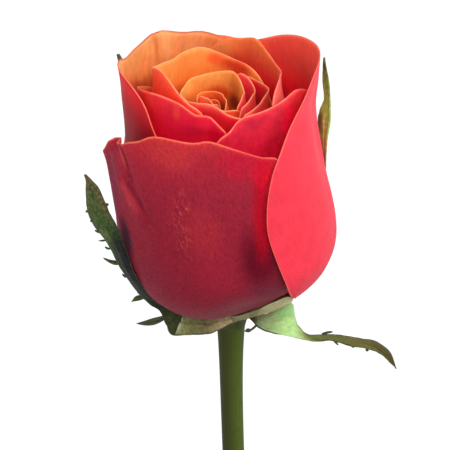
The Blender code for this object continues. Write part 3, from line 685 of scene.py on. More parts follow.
innerLooks = {
    "backLeft": {
        "levels": [
            (40, (190, 70, 40)), (47, (214, 96, 52)), (52, (240, 142, 76)), (58, (236, 152, 88)),
            (62, (228, 168, 112))],
        "spots": [
            (178, 57, 6, 4, 0, 0.5, (246, 170, 96)), (149, 57, 5, 4, 0, 0.5, (206, 140, 78)),
            # Spots at (128.5, 58) and (124, 57): painted shade on the crease's dark side; (121, 58): painted
            # highlight on its lit side.
            (128.5, 58, 0.8, 6, 0, 0.7, (196, 116, 62)), (124, 57, 1.0, 4, 0, 0.6, (214, 132, 72)),
            (121, 58, 1.6, 6, 0, 0.5, (244, 176, 112)), (104, 57, 5, 3, 0, 0.5, (214, 134, 88)),
            (151, 50, 6, 2.6, 20, 0.7, (190, 84, 50)), (84, 57, 5, 3, 0, 0.6, (212, 106, 58))],
        "fibre": 0.08, "mottle": 0.08, "rim": (178, 96, 84)},
    "innerLeft": {
        "levels": [(44, (226, 90, 40)), (50, (248, 120, 48)), (54, (250, 144, 66)), (60, (248, 156, 84))],
        "rim": (250, 160, 100),
        "spots": [
            (84, 55.6, 3.6, 2.2, 20, 0.75, (236, 84, 44)), (66, 54, 4.4, 3.4, 0, 0.85, (200, 44, 30)),
            (90, 55.5, 2.4, 1.4, 0, 0.5, (250, 96, 46))]},
    "frontLeft": {
        "levels": [(44, (180, 40, 24)), (52, (238, 100, 50)), (56, (250, 146, 78))],
        "rim": (250, 160, 106)},
    "guardRight": {
        # Its bright red low down is partly its own colour and partly painted light, standing in for light
        # that reaches deep into the bloom.
        "levels": [(40, (236, 16, 36)), (47, (252, 36, 50)), (53, (214, 76, 66)), (60, (222, 84, 66))],
        "spots": [(64, 55.5, 3.4, 2.2, 0, 0.8, (228, 94, 62))]},
    "backRight": {
        # Its bright red low down is partly its own colour and partly painted light, standing in for light
        # that reaches deep into the bloom.
        "levels": [(44, (250, 26, 44)), (50, (255, 38, 52)), (54, (216, 74, 52)), (58, (212, 106, 54))],
        "rim": (240, 132, 84),
        "spots": [(86, 57, 5, 4, 0, 0.85, (222, 124, 66)), (60, 56, 3, 1.6, 0, 0.4, (196, 84, 58))]},
    "cupLeft": {
        "levels": [(42, (130, 30, 20)), (47, (200, 84, 40)), (50.5, (236, 124, 54)), (54, (242, 160, 80))],
        "spots": [
            (52, 52.5, 2.6, 3.4, 0, 0.6, (176, 92, 44)), (140, 52.6, 3, 2, 0, 0.4, (250, 176, 96)),
            # Spot at (54, 48.8): painted shadow deep in the cup.
            (54, 48.8, 2.6, 2.4, 0, 0.85, (120, 30, 24)), (82, 50.2, 3.6, 1.9, 0, 0.85, (212, 70, 28))],
        "rim": (248, 164, 104)},
    "ringInner": {
        "levels": [(46, (214, 28, 60)), (52, (252, 62, 84)), (56, (244, 98, 84))], "rim": (246, 140, 106)},
    "ringRight": {
        "levels": [(46, (180, 24, 42)), (52, (222, 42, 54)), (56, (236, 84, 66))], "rim": (246, 132, 104)},
    "heartOuter": {
        "levels": [(46, (170, 36, 16)), (51, (214, 70, 28)), (53, (240, 116, 54))], "rim": (250, 150, 100)},
    "heartMiddle": {"levels": [(46, (150, 30, 18)), (52, (222, 80, 42))], "rim": (250, 150, 110)}}
warmInner = {
    "levels": [(38, (150, 22, 20)), (48, (200, 52, 34)), (53, (226, 84, 46)), (57, (240, 120, 66))]}
# Pale edge faces of the petals: a painted highlight where light catches the thin edge.
litRims = {"pink": (238, 104, 88), "warm": (250, 156, 104), "warmWithin": 17}


def litRimSkin(name, colour):
    material, _, _, shader = newMaterial(name, roughness=0.5, specular=0.15)
    shader.inputs["Base Color"].default_value = (*colour, 1)
    return material


pinkLitRim = litRimSkin("pinkLitRim", tint(*litRims["pink"]))
warmLitRim = litRimSkin("warmLitRim", tint(*litRims["warm"]))
for name, petal in petals.items():
    prepared(petal)
    outer = petalSkin("outer" + titled(name), petal, outerLooks.get(name, dullOuter))
    inner = petalSkin("inner" + titled(name), petal, innerLooks.get(name, warmInner))
    rim = warmLitRim if petal["radius"] < litRims["warmWithin"] else pinkLitRim
    makePetal("petal" + titled(name), petal, [outer, inner, rim])
print("petals made:", len(petals))


def turnedSolid(name, profile, steps, inBloom):
    # a turned solid on the rose's axis. One in the bloom leans and lifts with the petals.
    bm = bmesh.new()
    points = [bm.verts.new((radius, 0, height)) for radius, height in profile]
    edges = [bm.edges.new(pair) for pair in zip(points, points[1:])]
    bmesh.ops.spin(
        bm, geom=points + edges, cent=(0, 0, 0), axis=(0, 0, 1), angle=2 * math.pi, steps=steps,
        use_merge=True)
    bmesh.ops.remove_doubles(bm, verts=bm.verts[:], dist=0.001)
    bmesh.ops.recalc_face_normals(bm, faces=bm.faces[:])
    for vert in bm.verts:
        if inBloom:
            azimuth, radius = math.degrees(math.atan2(vert.co.y, vert.co.x)), vert.co.xy.length
            lift = bowlLift({}, azimuth, radius, vert.co.z)
            vert.co += Vector((body["lean"] * max(vert.co.z, 0), 0, lift))
        vert.co = laid(vert.co)
    thing = linkMesh(name, bm)
    thing.data.shade_smooth()
    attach(thing, "root")
    return thing


def evenSkin(name, colour, roughness, specular=0.2, bump=0.0, scale=600.0, darkest=0.72, lightest=1.25):
    # one colour with a fine mottle, for pieces without a map of their own
    material, nodes, links, shader = newMaterial(name, roughness, specular)
    spot = nodes.new("ShaderNodeTexCoord")
    mottle = noiseNode(nodes, links, spot.outputs["Object"], scale, detail=4.0)
    mask = stretched(nodes, links, mottle, bands["shade"])
    dark, light = (tuple(share * c for c in colour) for share in (darkest, lightest))
    links.new(mixInto(nodes, links, mask, dark, light), shader.inputs["Base Color"])
    addRelief(nodes, links, shader, mottle, bump)
    return material


# A core fills the bloom behind the petals: the body's own curve to its top rows of radius and height.
core = {
    "radius": 18.0, "heights": (0.3, 1, 2, 4, 7, 11, 15), "steps": 48, "colour": (150, 50, 30),
    "top": [(14, 24), (9.5, 32), (7, 38), (3.5, 43), (0, 45)]}
bowl = [(bodyRadius(height, core["radius"]), height) for height in core["heights"]]
coreProfile = [(0, core["heights"][0]), *bowl, *core["top"]]
bloomCore = turnedSolid("bloomCore", coreProfile, core["steps"], inBloom=True)
bloomCore.data.materials.append(evenSkin("coreSkin", tint(*core["colour"]), roughness=0.6))
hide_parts("bloom")


# Calyx. Each sepal lies between two edges from its root to its tip, as rows of azimuth, radius and height.
# "low" is the edge nearer the stem or the front, "high" the one nearer the petals. A sepal with a "spine"
# is a ribbon round rows of azimuth, radius, height and width.
sepals = {
    "left": {
        "low": [
            (235, 4, -3), (226, 12, -3.5), (218, 17.2, -2.9), (218, 18.8, 0.4), (214, 19.1, 3.6),
            (212, 20.9, 5.5), (208, 23.1, 8.6), (205, 24.9, 12.6), (202, 26.4, 16), (200, 27.4, 19.5),
            (197, 28.6, 22.2), (195, 29.8, 24), (193, 30.6, 26), (192, 31, 28), (191, 31, 30.2),
            (190, 30.7, 32.4), (190, 30.5, 34.6), (190, 30.4, 36.4)],
        "high": [
            (200, 4, -1), (214, 11, 0.6), (221, 17, 4.6), (219.5, 18.5, 6), (218.5, 19.7, 7.8),
            (218.5, 21.4, 9.8), (218.5, 23.4, 12), (217.5, 25, 14.6), (216, 25.9, 17.8),
            (213.7, 26.2, 21.7), (211, 26.3, 23.6), (209, 26.4, 25.9), (203, 26.4, 27.3),
            (197.5, 26.7, 28.7), (194.5, 27.2, 30.6), (193, 27.8, 33), (192, 28.8, 34.7),
            (190, 30.3, 36.5)],
        "cup": 0.5, "seed": 3},
    "front": {
        "low": [
            (221.2, 17.2, -2.3), (226.1, 15.7, -2.5), (232.4, 14, -2.6), (238.9, 12.5, -2.7),
            (244.4, 11.2, -2.9), (251.7, 9.6, -2.6), (266.5, 7.9, -1.9), (287.1, 7.1, -1.4),
            (309.6, 7.6, -1.1), (324.7, 8.8, -1)],
        "high": [
            (218, 14.2, 2.1), (222, 12.6, 1.7), (227.4, 11.2, 1), (234, 9.8, 0.5), (242.1, 8.4, 0.2),
            (252.9, 7.1, 0.1), (272.2, 6, 0.2), (295.8, 5.9, 0.3), (321.3, 6.9, 0.8), (335.6, 8.5, 1.3)],
        "cup": 0.3, "seed": 5},
    "right": {
        "low": [
            (310, 6, -1.6), (302, 11, -1), (303.5, 13.1, -1.2), (308, 14.5, -1.6), (312, 16.1, -1.8),
            (316, 17.2, -2.2), (320, 18.3, -2.8), (324, 19.1, -3.5), (327, 20.6, -4), (328.5, 22.2, -4.1),
            (330, 24.2, -3.6), (331, 26.7, -2.8), (332, 31.3, -3.3), (333, 35, -3.4), (334, 37.4, -4),
            (334, 39, -4.6), (334, 40.8, -6.1), (334, 42.1, -6.9)],
        "high": [
            (330, 5, -1.4), (318, 8, -0.8), (320, 9.6, -0.2), (322, 11.5, 0.9), (325, 14, 3),
            (328, 15.6, 4.4), (329.5, 16.7, 4.3), (328.5, 17, 2.2), (328, 17.5, 0.2), (328.5, 18.8, -1.5),
            (329.3, 20.8, -2.8), (331.3, 24.6, -2), (332, 28.8, -1.2), (333, 33, -1.1), (334, 36.2, -1.1),
            (334, 38.6, -1.9), (334, 40.7, -3.5), (334, 42, -6.8)],
        "cup": 0.5, "seed": 7},
    "rightFold": {
        "low": [
            (272, 6.4, -1.9), (284.7, 8.2, -0.4), (291.1, 10.1, 0.9), (297.6, 12, 2.3), (305.9, 13.7, 3.4),
            (312.6, 15.3, 4.3), (319.1, 16.5, 5.1), (325.5, 17.4, 5.6)],
        "high": [
            (272, 7.8, 0.7), (280, 12.2, 3.4), (287, 15.2, 5.8), (294.7, 16.5, 7.0), (301, 17.7, 8.4),
            (307.5, 18.7, 9.3), (314, 19.1, 9.5), (321, 18.9, 8.2)],
        "cup": 0.25, "seed": 9},
    "backRight": {
        "spine": [
            (36, 3.5, -2, 8), (36, 10, -2.2, 9), (36, 18, 0.6, 8), (36, 24.2, 6.3, 7),
            (36, 27.2, 13, 6), (34, 27.8, 21, 3), (33.4, 28.2, 27, 1.6), (33.8, 28.7, 31, 2),
            (34.3, 29.1, 34, 2.6), (34.6, 29.6, 37.8, 4.2), (34.5, 30.2, 40.6, 3.8),
            (34.3, 30.8, 43.6, 2.3), (35.2, 31.1, 47.6, 2.3), (36.2, 31.3, 51.1, 1.1),
            (36.5, 31.4, 53.8, 0.06)],
        "cup": 0.4, "seed": 11},
    "backLeft": {
        "spine": [
            (140, 3.5, -2, 8), (140, 10, -2.2, 9), (140, 18, 0.6, 8), (140, 24.2, 6.3, 7),
            (140, 27.6, 13, 6.5), (138, 28.5, 22, 6), (136, 28.3, 32, 5.5), (136, 27.4, 42, 5),
            (139, 27.4, 50, 3), (142, 27.4, 55.5, 0.8)],
        "cup": 0.4, "seed": 13}}
# Leaflets, hooks and threads on the edges: root, middle and tip as azimuth, radius, height, then the width.
leaflets = {
    "left": [
        ((214, 18.7, 1.6), (211, 21.7, 0.4), (208, 24.6, 0.8), 2.5),
        ((209.5, 21.9, 7.4), (206, 23.4, 7.2), (204, 24.7, 5.6), 1.4),
        ((204.5, 25, 12.9), (204, 25.2, 12), (203, 25.9, 13.3), 0.35),
        ((202.5, 26, 16), (200, 27.6, 15.6), (198, 29.3, 16.9), 1.0),
        ((200.5, 27.3, 19.7), (199, 28, 19), (198, 28.6, 19.7), 0.35),
        ((198.5, 28, 21.4), (197, 29, 21), (196, 29.8, 20.9), 0.4),
        ((197, 28.7, 23.2), (196, 29.6, 23.2), (195, 30.2, 23.4), 0.6),
        ((194, 30, 25.6), (193.5, 30.5, 25.4), (193, 30.9, 25.4), 0.7),
        ((192, 30.8, 27.8), (191.5, 31.2, 27.3), (191, 31.5, 27), 0.6),
        ((196, 27, 29.8), (196.2, 26.8, 29.9), (196.8, 26.5, 30.2), 0.7)],
    "right": [
        ((305, 10.6, -1.2), (300, 10.1, -2.6), (294, 9.9, -2.9), 0.35),
        ((297, 9.9, -2.8), (293, 9.8, -2.6), (289, 9.7, -2.9), 1.1),
        ((331, 24, -2), (331, 25.5, -1), (331, 26.7, -0.6), 0.5),
        ((331, 27, -2.8), (331, 27.6, -3.2), (331, 28.2, -3.8), 0.35),
        ((332.4, 31.4, -3.2), (332.4, 31.5, -3.5), (332.4, 31.8, -3.8), 0.6),
        ((333, 34.8, -3.4), (333, 35, -3.7), (333, 35.3, -3.9), 0.7)],
    "backRight": [
        ((38, 28, 21), (42, 28.8, 22.5), (45, 29.2, 24), 1.4),
        ((41, 27.4, 14), (45, 28.4, 15.5), (47, 28.8, 17), 1.2)],
    "backLeft": [
        ((138, 28.2, 32), (139, 28.6, 33.4), (138, 28.8, 35), 1.0),
        ((134, 27.8, 40), (131, 28.4, 41), (129, 28.8, 42.6), 1.1)]}
sepalForm = {
    "along": 110, "across": 18, "thickness": 0.45, "rough": 0.1, "roughScale": 0.9, "wrinkle": 0.25,
    "wrinklesAlong": 6, "wrinklesAcross": 9, "keel": 0.25, "keelWidth": 0.07, "tipShare": 0.25, "tipFall": 10}
leafletForm = {"along": 14, "across": 4, "rootShare": 0.3, "stretch": 0.95, "start": 0.12, "tip": 1.02}
leafletTone = (0.62, 0.1)


def edgesOf(spine):
    low, high = [], []
    for azimuth, radius, height, width in spine:
        aside = math.degrees(width / 2 / radius)
        low.append((azimuth - aside, radius, height))
        high.append((azimuth + aside, radius, height))
    return low, high


def outOf(azimuth, radius, height):
    # the way out from the bloom: down below the bowl, sideways from 12 mm up beside it
    beside = min(1.0, max(0.0, height / 12))
    angle = math.radians(azimuth)
    return Vector((beside * math.cos(angle), beside * math.sin(angle), beside - 1.001)).normalized()


def sepalSpot(sepal, share, across):
    low, high = along(sepal["low"], share), along(sepal["high"], share)
    azimuth, radius, height = (a + (b - a) * across for a, b in zip(low, high))
    spot = polar(azimuth, radius, height)
    rough = noise.noise(spot * sepalForm["roughScale"] + Vector((sepal["seed"], 0, 0))) * sepalForm["rough"]
    place = Vector((share * sepalForm["wrinklesAlong"], across * sepalForm["wrinklesAcross"], sepal["seed"]))
    wrinkle = noise.noise(place) * sepalForm["wrinkle"]
    keel = sepalForm["keel"] * math.exp(-((across - 0.5) / sepalForm["keelWidth"]) ** 2)
    middle = 4 * across * (1 - across)
    bulge = sepal["cup"] * middle + rough + (wrinkle - keel) * middle
    return spot + outOf(azimuth, radius, height) * bulge


def leafletSpot(leaflet, share, across):
    root, middle, tip, width = leaflet
    a, b, c = (polar(*point) for point in (root, middle, tip))
    spot = a * (1 - share) ** 2 + b * (2 * share * (1 - share)) + c * share ** 2
    onward = (b - a).lerp(c - b, share).normalized()
    aside = onward.cross(outOf(*root)).normalized()
    belly = math.sin(math.pi * min(1, share * leafletForm["stretch"] + leafletForm["start"]))
    half = width / 2 * (leafletForm["rootShare"] + (1 - leafletForm["rootShare"]) * belly)
    return spot + aside * (half * (leafletForm["tip"] - share ** 4) * (2 * across - 1))


def addSheet(bm, columns, rows, spotOf, out=None, tone=(0, 1)):
    # a grid laid on the surface that spotOf gives, turned to face out. It thins towards its tip.
    # tone: where on the "place" map it starts, and how far it runs there.
    rays = bm.loops.layers.uv.get("rays") or bm.loops.layers.uv.new("rays")
    place = bm.loops.layers.uv.get("place") or bm.loops.layers.uv.new("place")
    thin = bm.verts.layers.deform.verify()
    made = bmesh.ops.create_grid(bm, x_segments=columns, y_segments=rows, size=0.5)["verts"]
    shares = {vert: (vert.co.x + 0.5, vert.co.y + 0.5) for vert in made}
    faces = {face for vert in made for face in vert.link_faces}
    for face in faces:
        for loop in face.loops:
            onward, aside = shares[loop.vert]
            loop[rays].uv = (aside, onward)
            loop[place].uv = (aside, tone[0] + tone[1] * onward)
    for vert in made:
        onward = shares[vert][0]
        vert[thin][0] = max(sepalForm["tipShare"], min(1.0, (1 - onward) * sepalForm["tipFall"]))
        vert.co = laid(spotOf(*shares[vert]))
    for face in faces:
        face.normal_update()
    if out and sum(face.normal.dot(turnDown @ out) for face in faces) < 0:
        bmesh.ops.reverse_faces(bm, faces=list(faces))


def dressed(thing, materials):
    walled(thing, sepalForm["thickness"], materials)
    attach(thing, "root")
    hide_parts("calyx")


def makeSepal(name, sepal, materials):
    if "spine" in sepal:
        sepal["low"], sepal["high"] = edgesOf(sepal["spine"])
    bm = bmesh.new()
    out = outOf(*along(sepal["low"], 0.5))
    addSheet(bm, sepalForm["along"], sepalForm["across"], lambda u, v: sepalSpot(sepal, u, v), out)
    dressed(linkMesh("sepal" + titled(name), bm), materials)


def makeLeaflets(name, skinOutside, skinRim):
    bm = bmesh.new()
    for leaflet in leaflets[name]:
        addSheet(
            bm, leafletForm["along"], leafletForm["across"], lambda u, v: leafletSpot(leaflet, u, v),
            outOf(*leaflet[0]), leafletTone)
    dressed(linkMesh("leaflets" + titled(name), bm), [skinOutside, skinOutside, skinRim])


# What a leaf's look has unless it says otherwise
plainLeaf = {
    "fibre": 0.2, "mottle": 0.25, "roughness": 0.62, "bump": 0.5, "glow": 0.03, "sheen": 0.08,
    "grain": (26, 40, 900), "ragged": 0.3, "spots": []}


def leafSkin(name, look):
    # on a sepal's "place" map x is 0 to 1 across it and y 0 to 1 from root to tip
    look = {**plainLeaf, **look}
    levels = [(share, tint(*colour)) for share, colour in look["levels"]]
    spots = [
        ((across, share), (halfAcross, halfShare), 0, strength, tint(*colour), False)
        for across, share, halfAcross, halfShare, strength, colour in look["spots"]]
    return skin(name, levels, spots, look)


leafLooks = {
    "outer": {
        "levels": [(0.0, (72, 84, 44)), (0.3, (58, 66, 42)), (0.6, (66, 84, 44)), (1.0, (92, 98, 56))]},
    "outerLeft": {
        "levels": [
            (0.0, (60, 72, 34)), (0.14, (58, 64, 36)), (0.24, (30, 40, 32)), (0.5, (46, 62, 32)),
            (0.68, (62, 80, 42)), (0.85, (80, 92, 54)), (1.0, (106, 98, 66))],
        "spots": [
            # Spot at across 0.95: painted shade along the edge next to the petal.
            (0.95, 0.48, 0.55, 0.2, 0.95, (28, 22, 30)), (0.4, 0.62, 0.25, 0.05, 0.6, (100, 112, 54)),
            (1.0, 0.84, 0.3, 0.16, 0.7, (100, 86, 58)), (0.0, 0.2, 0.06, 0.08, 0.9, (150, 150, 116))],
        "mottle": 0.4, "grain": (26, 60, 1300), "bump": 0.8},
    "inner": {
        "levels": [(0.0, (150, 148, 108)), (0.5, (140, 148, 100)), (1.0, (120, 124, 76))], "fibre": 0.12,
        "mottle": 0.16},
    "innerFront": {
        "levels": [
            (0.0, (140, 142, 100)), (0.12, (124, 122, 76)), (0.32, (116, 104, 70)), (0.45, (138, 126, 88)),
            (0.62, (186, 166, 126)), (1.0, (176, 172, 124))],
        "spots": [
            (0.5, 0.02, 0.8, 0.03, 0.8, (168, 168, 140)), (0.0, 0.4, 0.14, 0.6, 0.7, (74, 80, 60)),
            (0.95, 0.5, 0.3, 0.6, 0.3, (112, 108, 64)), (0.4, 0.2, 0.5, 0.1, 0.5, (110, 112, 70))],
        "grain": (14, 44, 1100)},
    "innerRight": {
        "levels": [
            (0.0, (120, 130, 96)), (0.1, (140, 152, 114)), (0.25, (160, 196, 122)), (0.38, (170, 206, 136)),
            (0.48, (138, 160, 96)), (0.56, (106, 116, 62)), (0.75, (104, 100, 54)), (1.0, (78, 72, 42))],
        "spots": [(0.8, 0.3, 0.25, 0.1, 0.5, (126, 182, 116)), (0.5, 0.1, 0.6, 0.07, 0.5, (146, 176, 122))],
        "fibre": 0.1, "mottle": 0.1, "grain": (12, 26, 700)},
    "innerBack": {
        "levels": [
            (0.0, (110, 120, 60)), (0.4, (140, 104, 60)), (0.56, (160, 142, 76)), (0.63, (146, 184, 84)),
            (0.74, (146, 186, 88)), (0.84, (122, 154, 72)), (0.93, (88, 108, 52)), (1.0, (50, 56, 36))],
        "spots": [
            (0.9, 0.64, 0.3, 0.07, 0.9, (92, 76, 40)), (0.1, 0.68, 0.6, 0.11, 0.9, (150, 190, 84)),
            (0.55, 0.6, 0.12, 0.12, 0.95, (236, 236, 176))],
        "fibre": 0.15, "mottle": 0.2},
    "fold": {
        "levels": [
            (0.0, (140, 132, 90)), (0.35, (136, 130, 84)), (0.6, (176, 170, 122)), (1.0, (190, 186, 138))],
        "spots": [(0.05, 0.5, 0.2, 0.6, 0.4, (140, 144, 98)), (0.6, 0.36, 0.7, 0.1, 0.5, (96, 94, 50))],
        "fibre": 0.12, "mottle": 0.18, "bump": 0.6, "grain": (12, 50, 1300)}}
leafRim = evenSkin("leafRim", tint(70, 74, 50), roughness=0.6)
outerSkin = leafSkin("sepalOuter", leafLooks["outer"])
innerSkin = leafSkin("sepalInner", leafLooks["inner"])
frontSkins = [leafSkin(name, leafLooks["innerFront"]) for name in ("sepalOuterFront", "sepalInnerFront")]
foldSkins = [leafSkin(name, leafLooks["fold"]) for name in ("sepalFoldOuter", "sepalFoldInner")]
sepalSkins = {
    "left": (leafSkin("sepalOuterLeft", leafLooks["outerLeft"]), innerSkin),
    "front": frontSkins,
    "backRight": (outerSkin, leafSkin("sepalInnerBack", leafLooks["innerBack"])),
    "right": (outerSkin, leafSkin("sepalInnerRight", leafLooks["innerRight"])),
    "rightFold": foldSkins,
}
for name, sepal in sepals.items():
    outer, inner = sepalSkins.get(name, (outerSkin, innerSkin))
    rim = inner if name == "backRight" else leafRim
    makeSepal(name, sepal, [outer, inner, rim])
    if name in leaflets:
        makeLeaflets(name, outer, rim)

hip = {
    "profile": [
        (0, -0.3), (4.6, -0.3), (5, -0.6), (5.1, -1.6), (4.7, -2.8), (4.2, -3.8), (3.75, -5.2), (3.4, -6.6),
        (3, -7.9), (2.6, -8), (0, -8)],
    "steps": 64, "colour": (64, 72, 38)}
hipPiece = turnedSolid("hip", hip["profile"], hip["steps"], inBloom=False)
hipSkin = evenSkin("hipSkin", tint(*hip["colour"]), roughness=0.55, specular=0.05, bump=0.2)
hipPiece.data.materials.append(hipSkin)
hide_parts("calyx")
print("sepals and hip made")


# Stem. Distances run down from the bloom's foot.
stem = {
    "top": 6.2, "length": 171.4, "radius": 2.62, "topRadius": 3.25, "endRadius": 2.7, "shoulder": 8,
    "shoulderFade": 9, "bow": 1.6, "cutSlant": 38, "cutShare": 0.96, "sides": 64, "rings": 420}
scars = {
    "below": (84, 131), "swelling": 0.45, "height": 2.5, "groove": 0.12, "grooveBelow": 1.2,
    "grooveHeight": 0.35}
ridges = {"size": 0.05, "round": 3, "down": 0.02, "shift": 0.3}
prickles = {
    "spots": [(52, 208), (71, 322), (93, 232), (118, 300), (141, 212)], "length": 5.0, "radius": 1.5,
    "hook": 2.0, "taper": 1.3, "sunk": 0.9, "tall": 1.5, "wide": 0.6, "sides": 20, "rings": 16}


def stemRadius(below):
    widening = math.exp(-(below - stem["shoulder"]) / stem["shoulderFade"])
    radius = stem["radius"] + (stem["topRadius"] - stem["radius"]) * widening
    radius += (stem["endRadius"] - stem["radius"]) * below / stem["length"]
    for scar in scars["below"]:
        radius += scars["swelling"] * math.exp(-((below - scar) / scars["height"]) ** 2)
    return radius


def stemCentre(below):
    share = max(0.0, (below - stem["shoulder"]) / (stem["length"] - stem["shoulder"]))
    return Vector((stem["bow"] * math.sin(math.pi * share) ** 2, 0, -below))


def stemSpot(around, down):
    # round the stem from its top to the cut, where the last rings close over the slanted face
    angle = 2 * math.pi * around
    side = min(1.0, down / stem["cutShare"])
    closing = max(0.0, (down - stem["cutShare"]) / (1 - stem["cutShare"]))
    below = stem["top"] + (stem["length"] - stem["top"]) * side
    place = Vector((
        math.cos(angle) * ridges["round"], math.sin(angle) * ridges["round"], below * ridges["down"]))
    radius = stemRadius(below) + ridges["size"] * (noise.noise(place) - ridges["shift"])
    for scar in scars["below"]:
        grooveAway = (below - scar - scars["grooveBelow"]) / scars["grooveHeight"]
        radius -= scars["groove"] * math.exp(-grooveAway ** 2)
    radius *= 1 - closing
    spot = stemCentre(below) + Vector((radius * math.cos(angle), radius * math.sin(angle), 0))
    if side >= 1:
        spot.z += math.tan(math.radians(stem["cutSlant"])) * (radius * math.sin(angle) - stem["endRadius"])
    return spot


def prickleSpot(below, azimuth, around, share):
    turn = 2 * math.pi * around
    angle = math.radians(azimuth)
    out = Vector((math.cos(angle), math.sin(angle), 0))
    aside = Vector((-math.sin(angle), math.cos(angle), 0))
    down = Vector((0, 0, -1))
    size = prickles["radius"] * (1 - share) ** prickles["taper"]
    foot = stemCentre(below) + out * (stemRadius(below) - prickles["sunk"])
    centre = foot + out * (prickles["length"] * share) + down * (prickles["hook"] * share * share)
    tall, wide = prickles["tall"] * size * math.cos(turn), prickles["wide"] * size * math.sin(turn)
    return centre - down * tall + aside * wide


# The stem's colours run round it from its right side by way of the back, so 0.75 faces up. It is darkest
# round its left side and lightest up and to the right, where the key light falls: painted shade and light.
# A patch is a band of the mottle and its colour. "cut" and "pith" are bands along the stem.
stemLook = {
    "round": [
        (0.0, (70, 88, 30)), (0.45, (52, 52, 24)), (0.62, (54, 56, 28)), (0.72, (62, 70, 31)),
        (0.84, (76, 92, 34)), (1.0, (70, 88, 30))],
    "grain": (60, 30, 500), "fibre": (58, 66, 26), "fibreBand": (0.4, 0.65), "fibreShare": 0.5,
    "patch": ((0.6, 0.75), (72, 58, 32)), "cut": ((0.958, 0.964), (176, 186, 120)),
    "pith": ((0.978, 0.984), (214, 214, 176)), "roughness": 0.5, "bump": 0.3}
prickleLook = [(0.2, (84, 92, 48)), (0.45, (150, 84, 62)), (0.8, (120, 54, 44)), (1.0, (70, 40, 30))]


def stemSkin(look):
    material, nodes, links, shader = newMaterial("stemSkin", look["roughness"], specular=0.05)
    around, down, _ = mapAxes(nodes, links, "place")
    fibres = placedGroup(nodes, fanFibres, look["grain"])
    colour = rampOf(nodes, links, around, [(share, tint(*tone)) for share, tone in look["round"]])
    grain = stretched(nodes, links, fibres["Fibre"], look["fibreBand"])
    faint = mathNode(nodes, links, "MULTIPLY", grain, look["fibreShare"])
    colour = mixInto(nodes, links, faint, colour, tint(*look["fibre"]))
    layers = ((fibres["Mottle"], look["patch"]), (down, look["cut"]), (down, look["pith"]))
    for source, (band, tone) in layers:
        colour = mixInto(nodes, links, stretched(nodes, links, source, band), colour, tint(*tone))
    links.new(colour, shader.inputs["Base Color"])
    addRelief(nodes, links, shader, fibres["Height"], look["bump"])
    return material


def prickleSkin(look):
    material, nodes, links, shader = newMaterial("prickleSkin", roughness=0.35, specular=0.5)
    onward = mapAxes(nodes, links, "place")[1]
    colour = rampOf(nodes, links, onward, [(share, tint(*tone)) for share, tone in look])
    links.new(colour, shader.inputs["Base Color"])
    return material


def tubeOf(name, sheets, material):
    # closed tubes: each sheet is columns, rows and its spot function
    bm = bmesh.new()
    for columns, rows, spotOf in sheets:
        addSheet(bm, rows, columns, lambda u, v: spotOf(v, u))
    bmesh.ops.remove_doubles(bm, verts=bm.verts[:], dist=0.002 * mm)
    bmesh.ops.holes_fill(bm, edges=bm.edges[:], sides=0)
    bmesh.ops.recalc_face_normals(bm, faces=bm.faces[:])
    keepOffSurface(bm.verts)
    thing = linkMesh(name, bm)
    thing.data.materials.append(material)
    thing.data.shade_smooth()
    thing.data.set_sharp_from_angle(angle=math.radians(50))
    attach(thing, "root")
    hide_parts("stem")


def prickleSheet(below, azimuth):
    return (
        prickles["sides"], prickles["rings"],
        lambda around, share: prickleSpot(below, azimuth, around, share))


tubeOf("stemPiece", [(stem["sides"], stem["rings"], stemSpot)], stemSkin(stemLook))
tubeOf("prickles", [prickleSheet(*spot) for spot in prickles["spots"]], prickleSkin(prickleLook))
print("stem and prickles made")


# Floor, light and camera

floorLook = {"size": 1.5, "below": 0.05, "grey": 0.06, "brightness": 1.03}
view = {"elevation": 30.0, "distance": 575.0, "field": 103.45, "target": (-1.40, 0.0, 20.25), "sensor": 36}
lights = {
    "key": {"azimuth": 332, "elevation": 38, "distance": 800, "size": 300, "power": 2.9},
    "front": {"azimuth": 276, "elevation": 42, "distance": 800, "size": 260, "power": 2.55},
    "low": {"azimuth": 264, "elevation": 4, "distance": 800, "size": 260, "power": 1.6},
    "fill": {"azimuth": 205, "elevation": 35, "distance": 900, "size": 700, "power": 0.6},
}
roomLight = {"around": 0.45, "seen": 1.0}


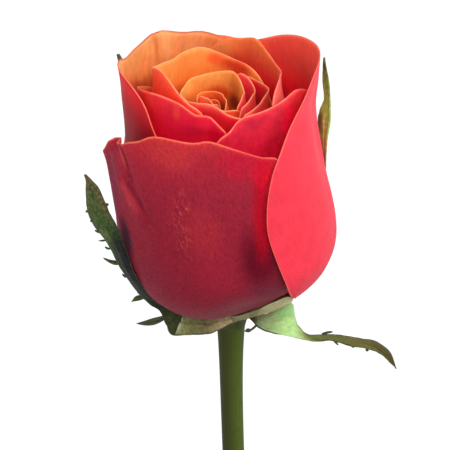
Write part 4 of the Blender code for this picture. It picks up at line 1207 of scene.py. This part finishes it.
def makeFloor():
    bm = bmesh.new()
    bmesh.ops.create_grid(bm, x_segments=1, y_segments=1, size=floorLook["size"])
    for vert in bm.verts:
        vert.co.z = -floorLook["below"] * mm
    floor = linkMesh("floor", bm)
    material, _, _, shader = newMaterial("floorWhite", roughness=0.9, specular=0.0)
    shader.inputs["Base Color"].default_value = (*[floorLook["grey"]] * 3, 1)
    shader.inputs["Emission Color"].default_value = (1, 1, 1, 1)
    shader.inputs["Emission Strength"].default_value = floorLook["brightness"]
    floor.data.materials.append(material)


def towards(azimuth, elevation):
    # a direction seen from the upright rose, laid down with it
    flat = math.cos(math.radians(elevation))
    turn = math.radians(azimuth)
    way = Vector((flat * math.cos(turn), flat * math.sin(turn), math.sin(math.radians(elevation))))
    return turnDown @ way


def makeLights():
    for name, light in lights.items():
        lamp = bpy.data.lights.new(name, "AREA")
        lamp.size = light["size"] * mm
        lamp.energy = light["power"]
        thing = bpy.data.objects.new(name, lamp)
        bpy.context.scene.collection.objects.link(thing)
        way = towards(light["azimuth"], light["elevation"])
        thing.location = laid(view["target"]) + way * light["distance"] * mm
        thing.rotation_euler = way.to_track_quat("Z", "Y").to_euler()


def makeWorld():
    # even light all round, and pure white where the camera looks past the floor
    world = bpy.data.worlds.new("studio")
    world.use_nodes = True
    nodes, links = world.node_tree.nodes, world.node_tree.links
    sky = nodes["Background"]
    sky.inputs[0].default_value = (1, 1, 1, 1)
    seen = nodes.new("ShaderNodeLightPath").outputs["Is Camera Ray"]
    links.new(stretched(nodes, links, seen, (0, 1), roomLight["around"], roomLight["seen"]), sky.inputs[1])
    bpy.context.scene.world = world


def makeCamera():
    camera = bpy.data.cameras.new("camera")
    thing = bpy.data.objects.new("camera", camera)
    bpy.context.scene.collection.objects.link(thing)
    way = towards(270, view["elevation"])
    up = towards(90, 90 - view["elevation"])
    matrix = Matrix((up.cross(way), up, way)).transposed().to_4x4()
    matrix.translation = laid(view["target"]) + way * view["distance"] * mm
    thing.matrix_world = matrix
    camera.sensor_width = view["sensor"]
    camera.lens = view["sensor"] * view["distance"] / view["field"]
    bpy.context.scene.camera = thing
    bpy.context.scene.view_settings.view_transform = "Standard"


makeFloor()
makeLights()
makeWorld()
makeCamera()
print("stage ready")
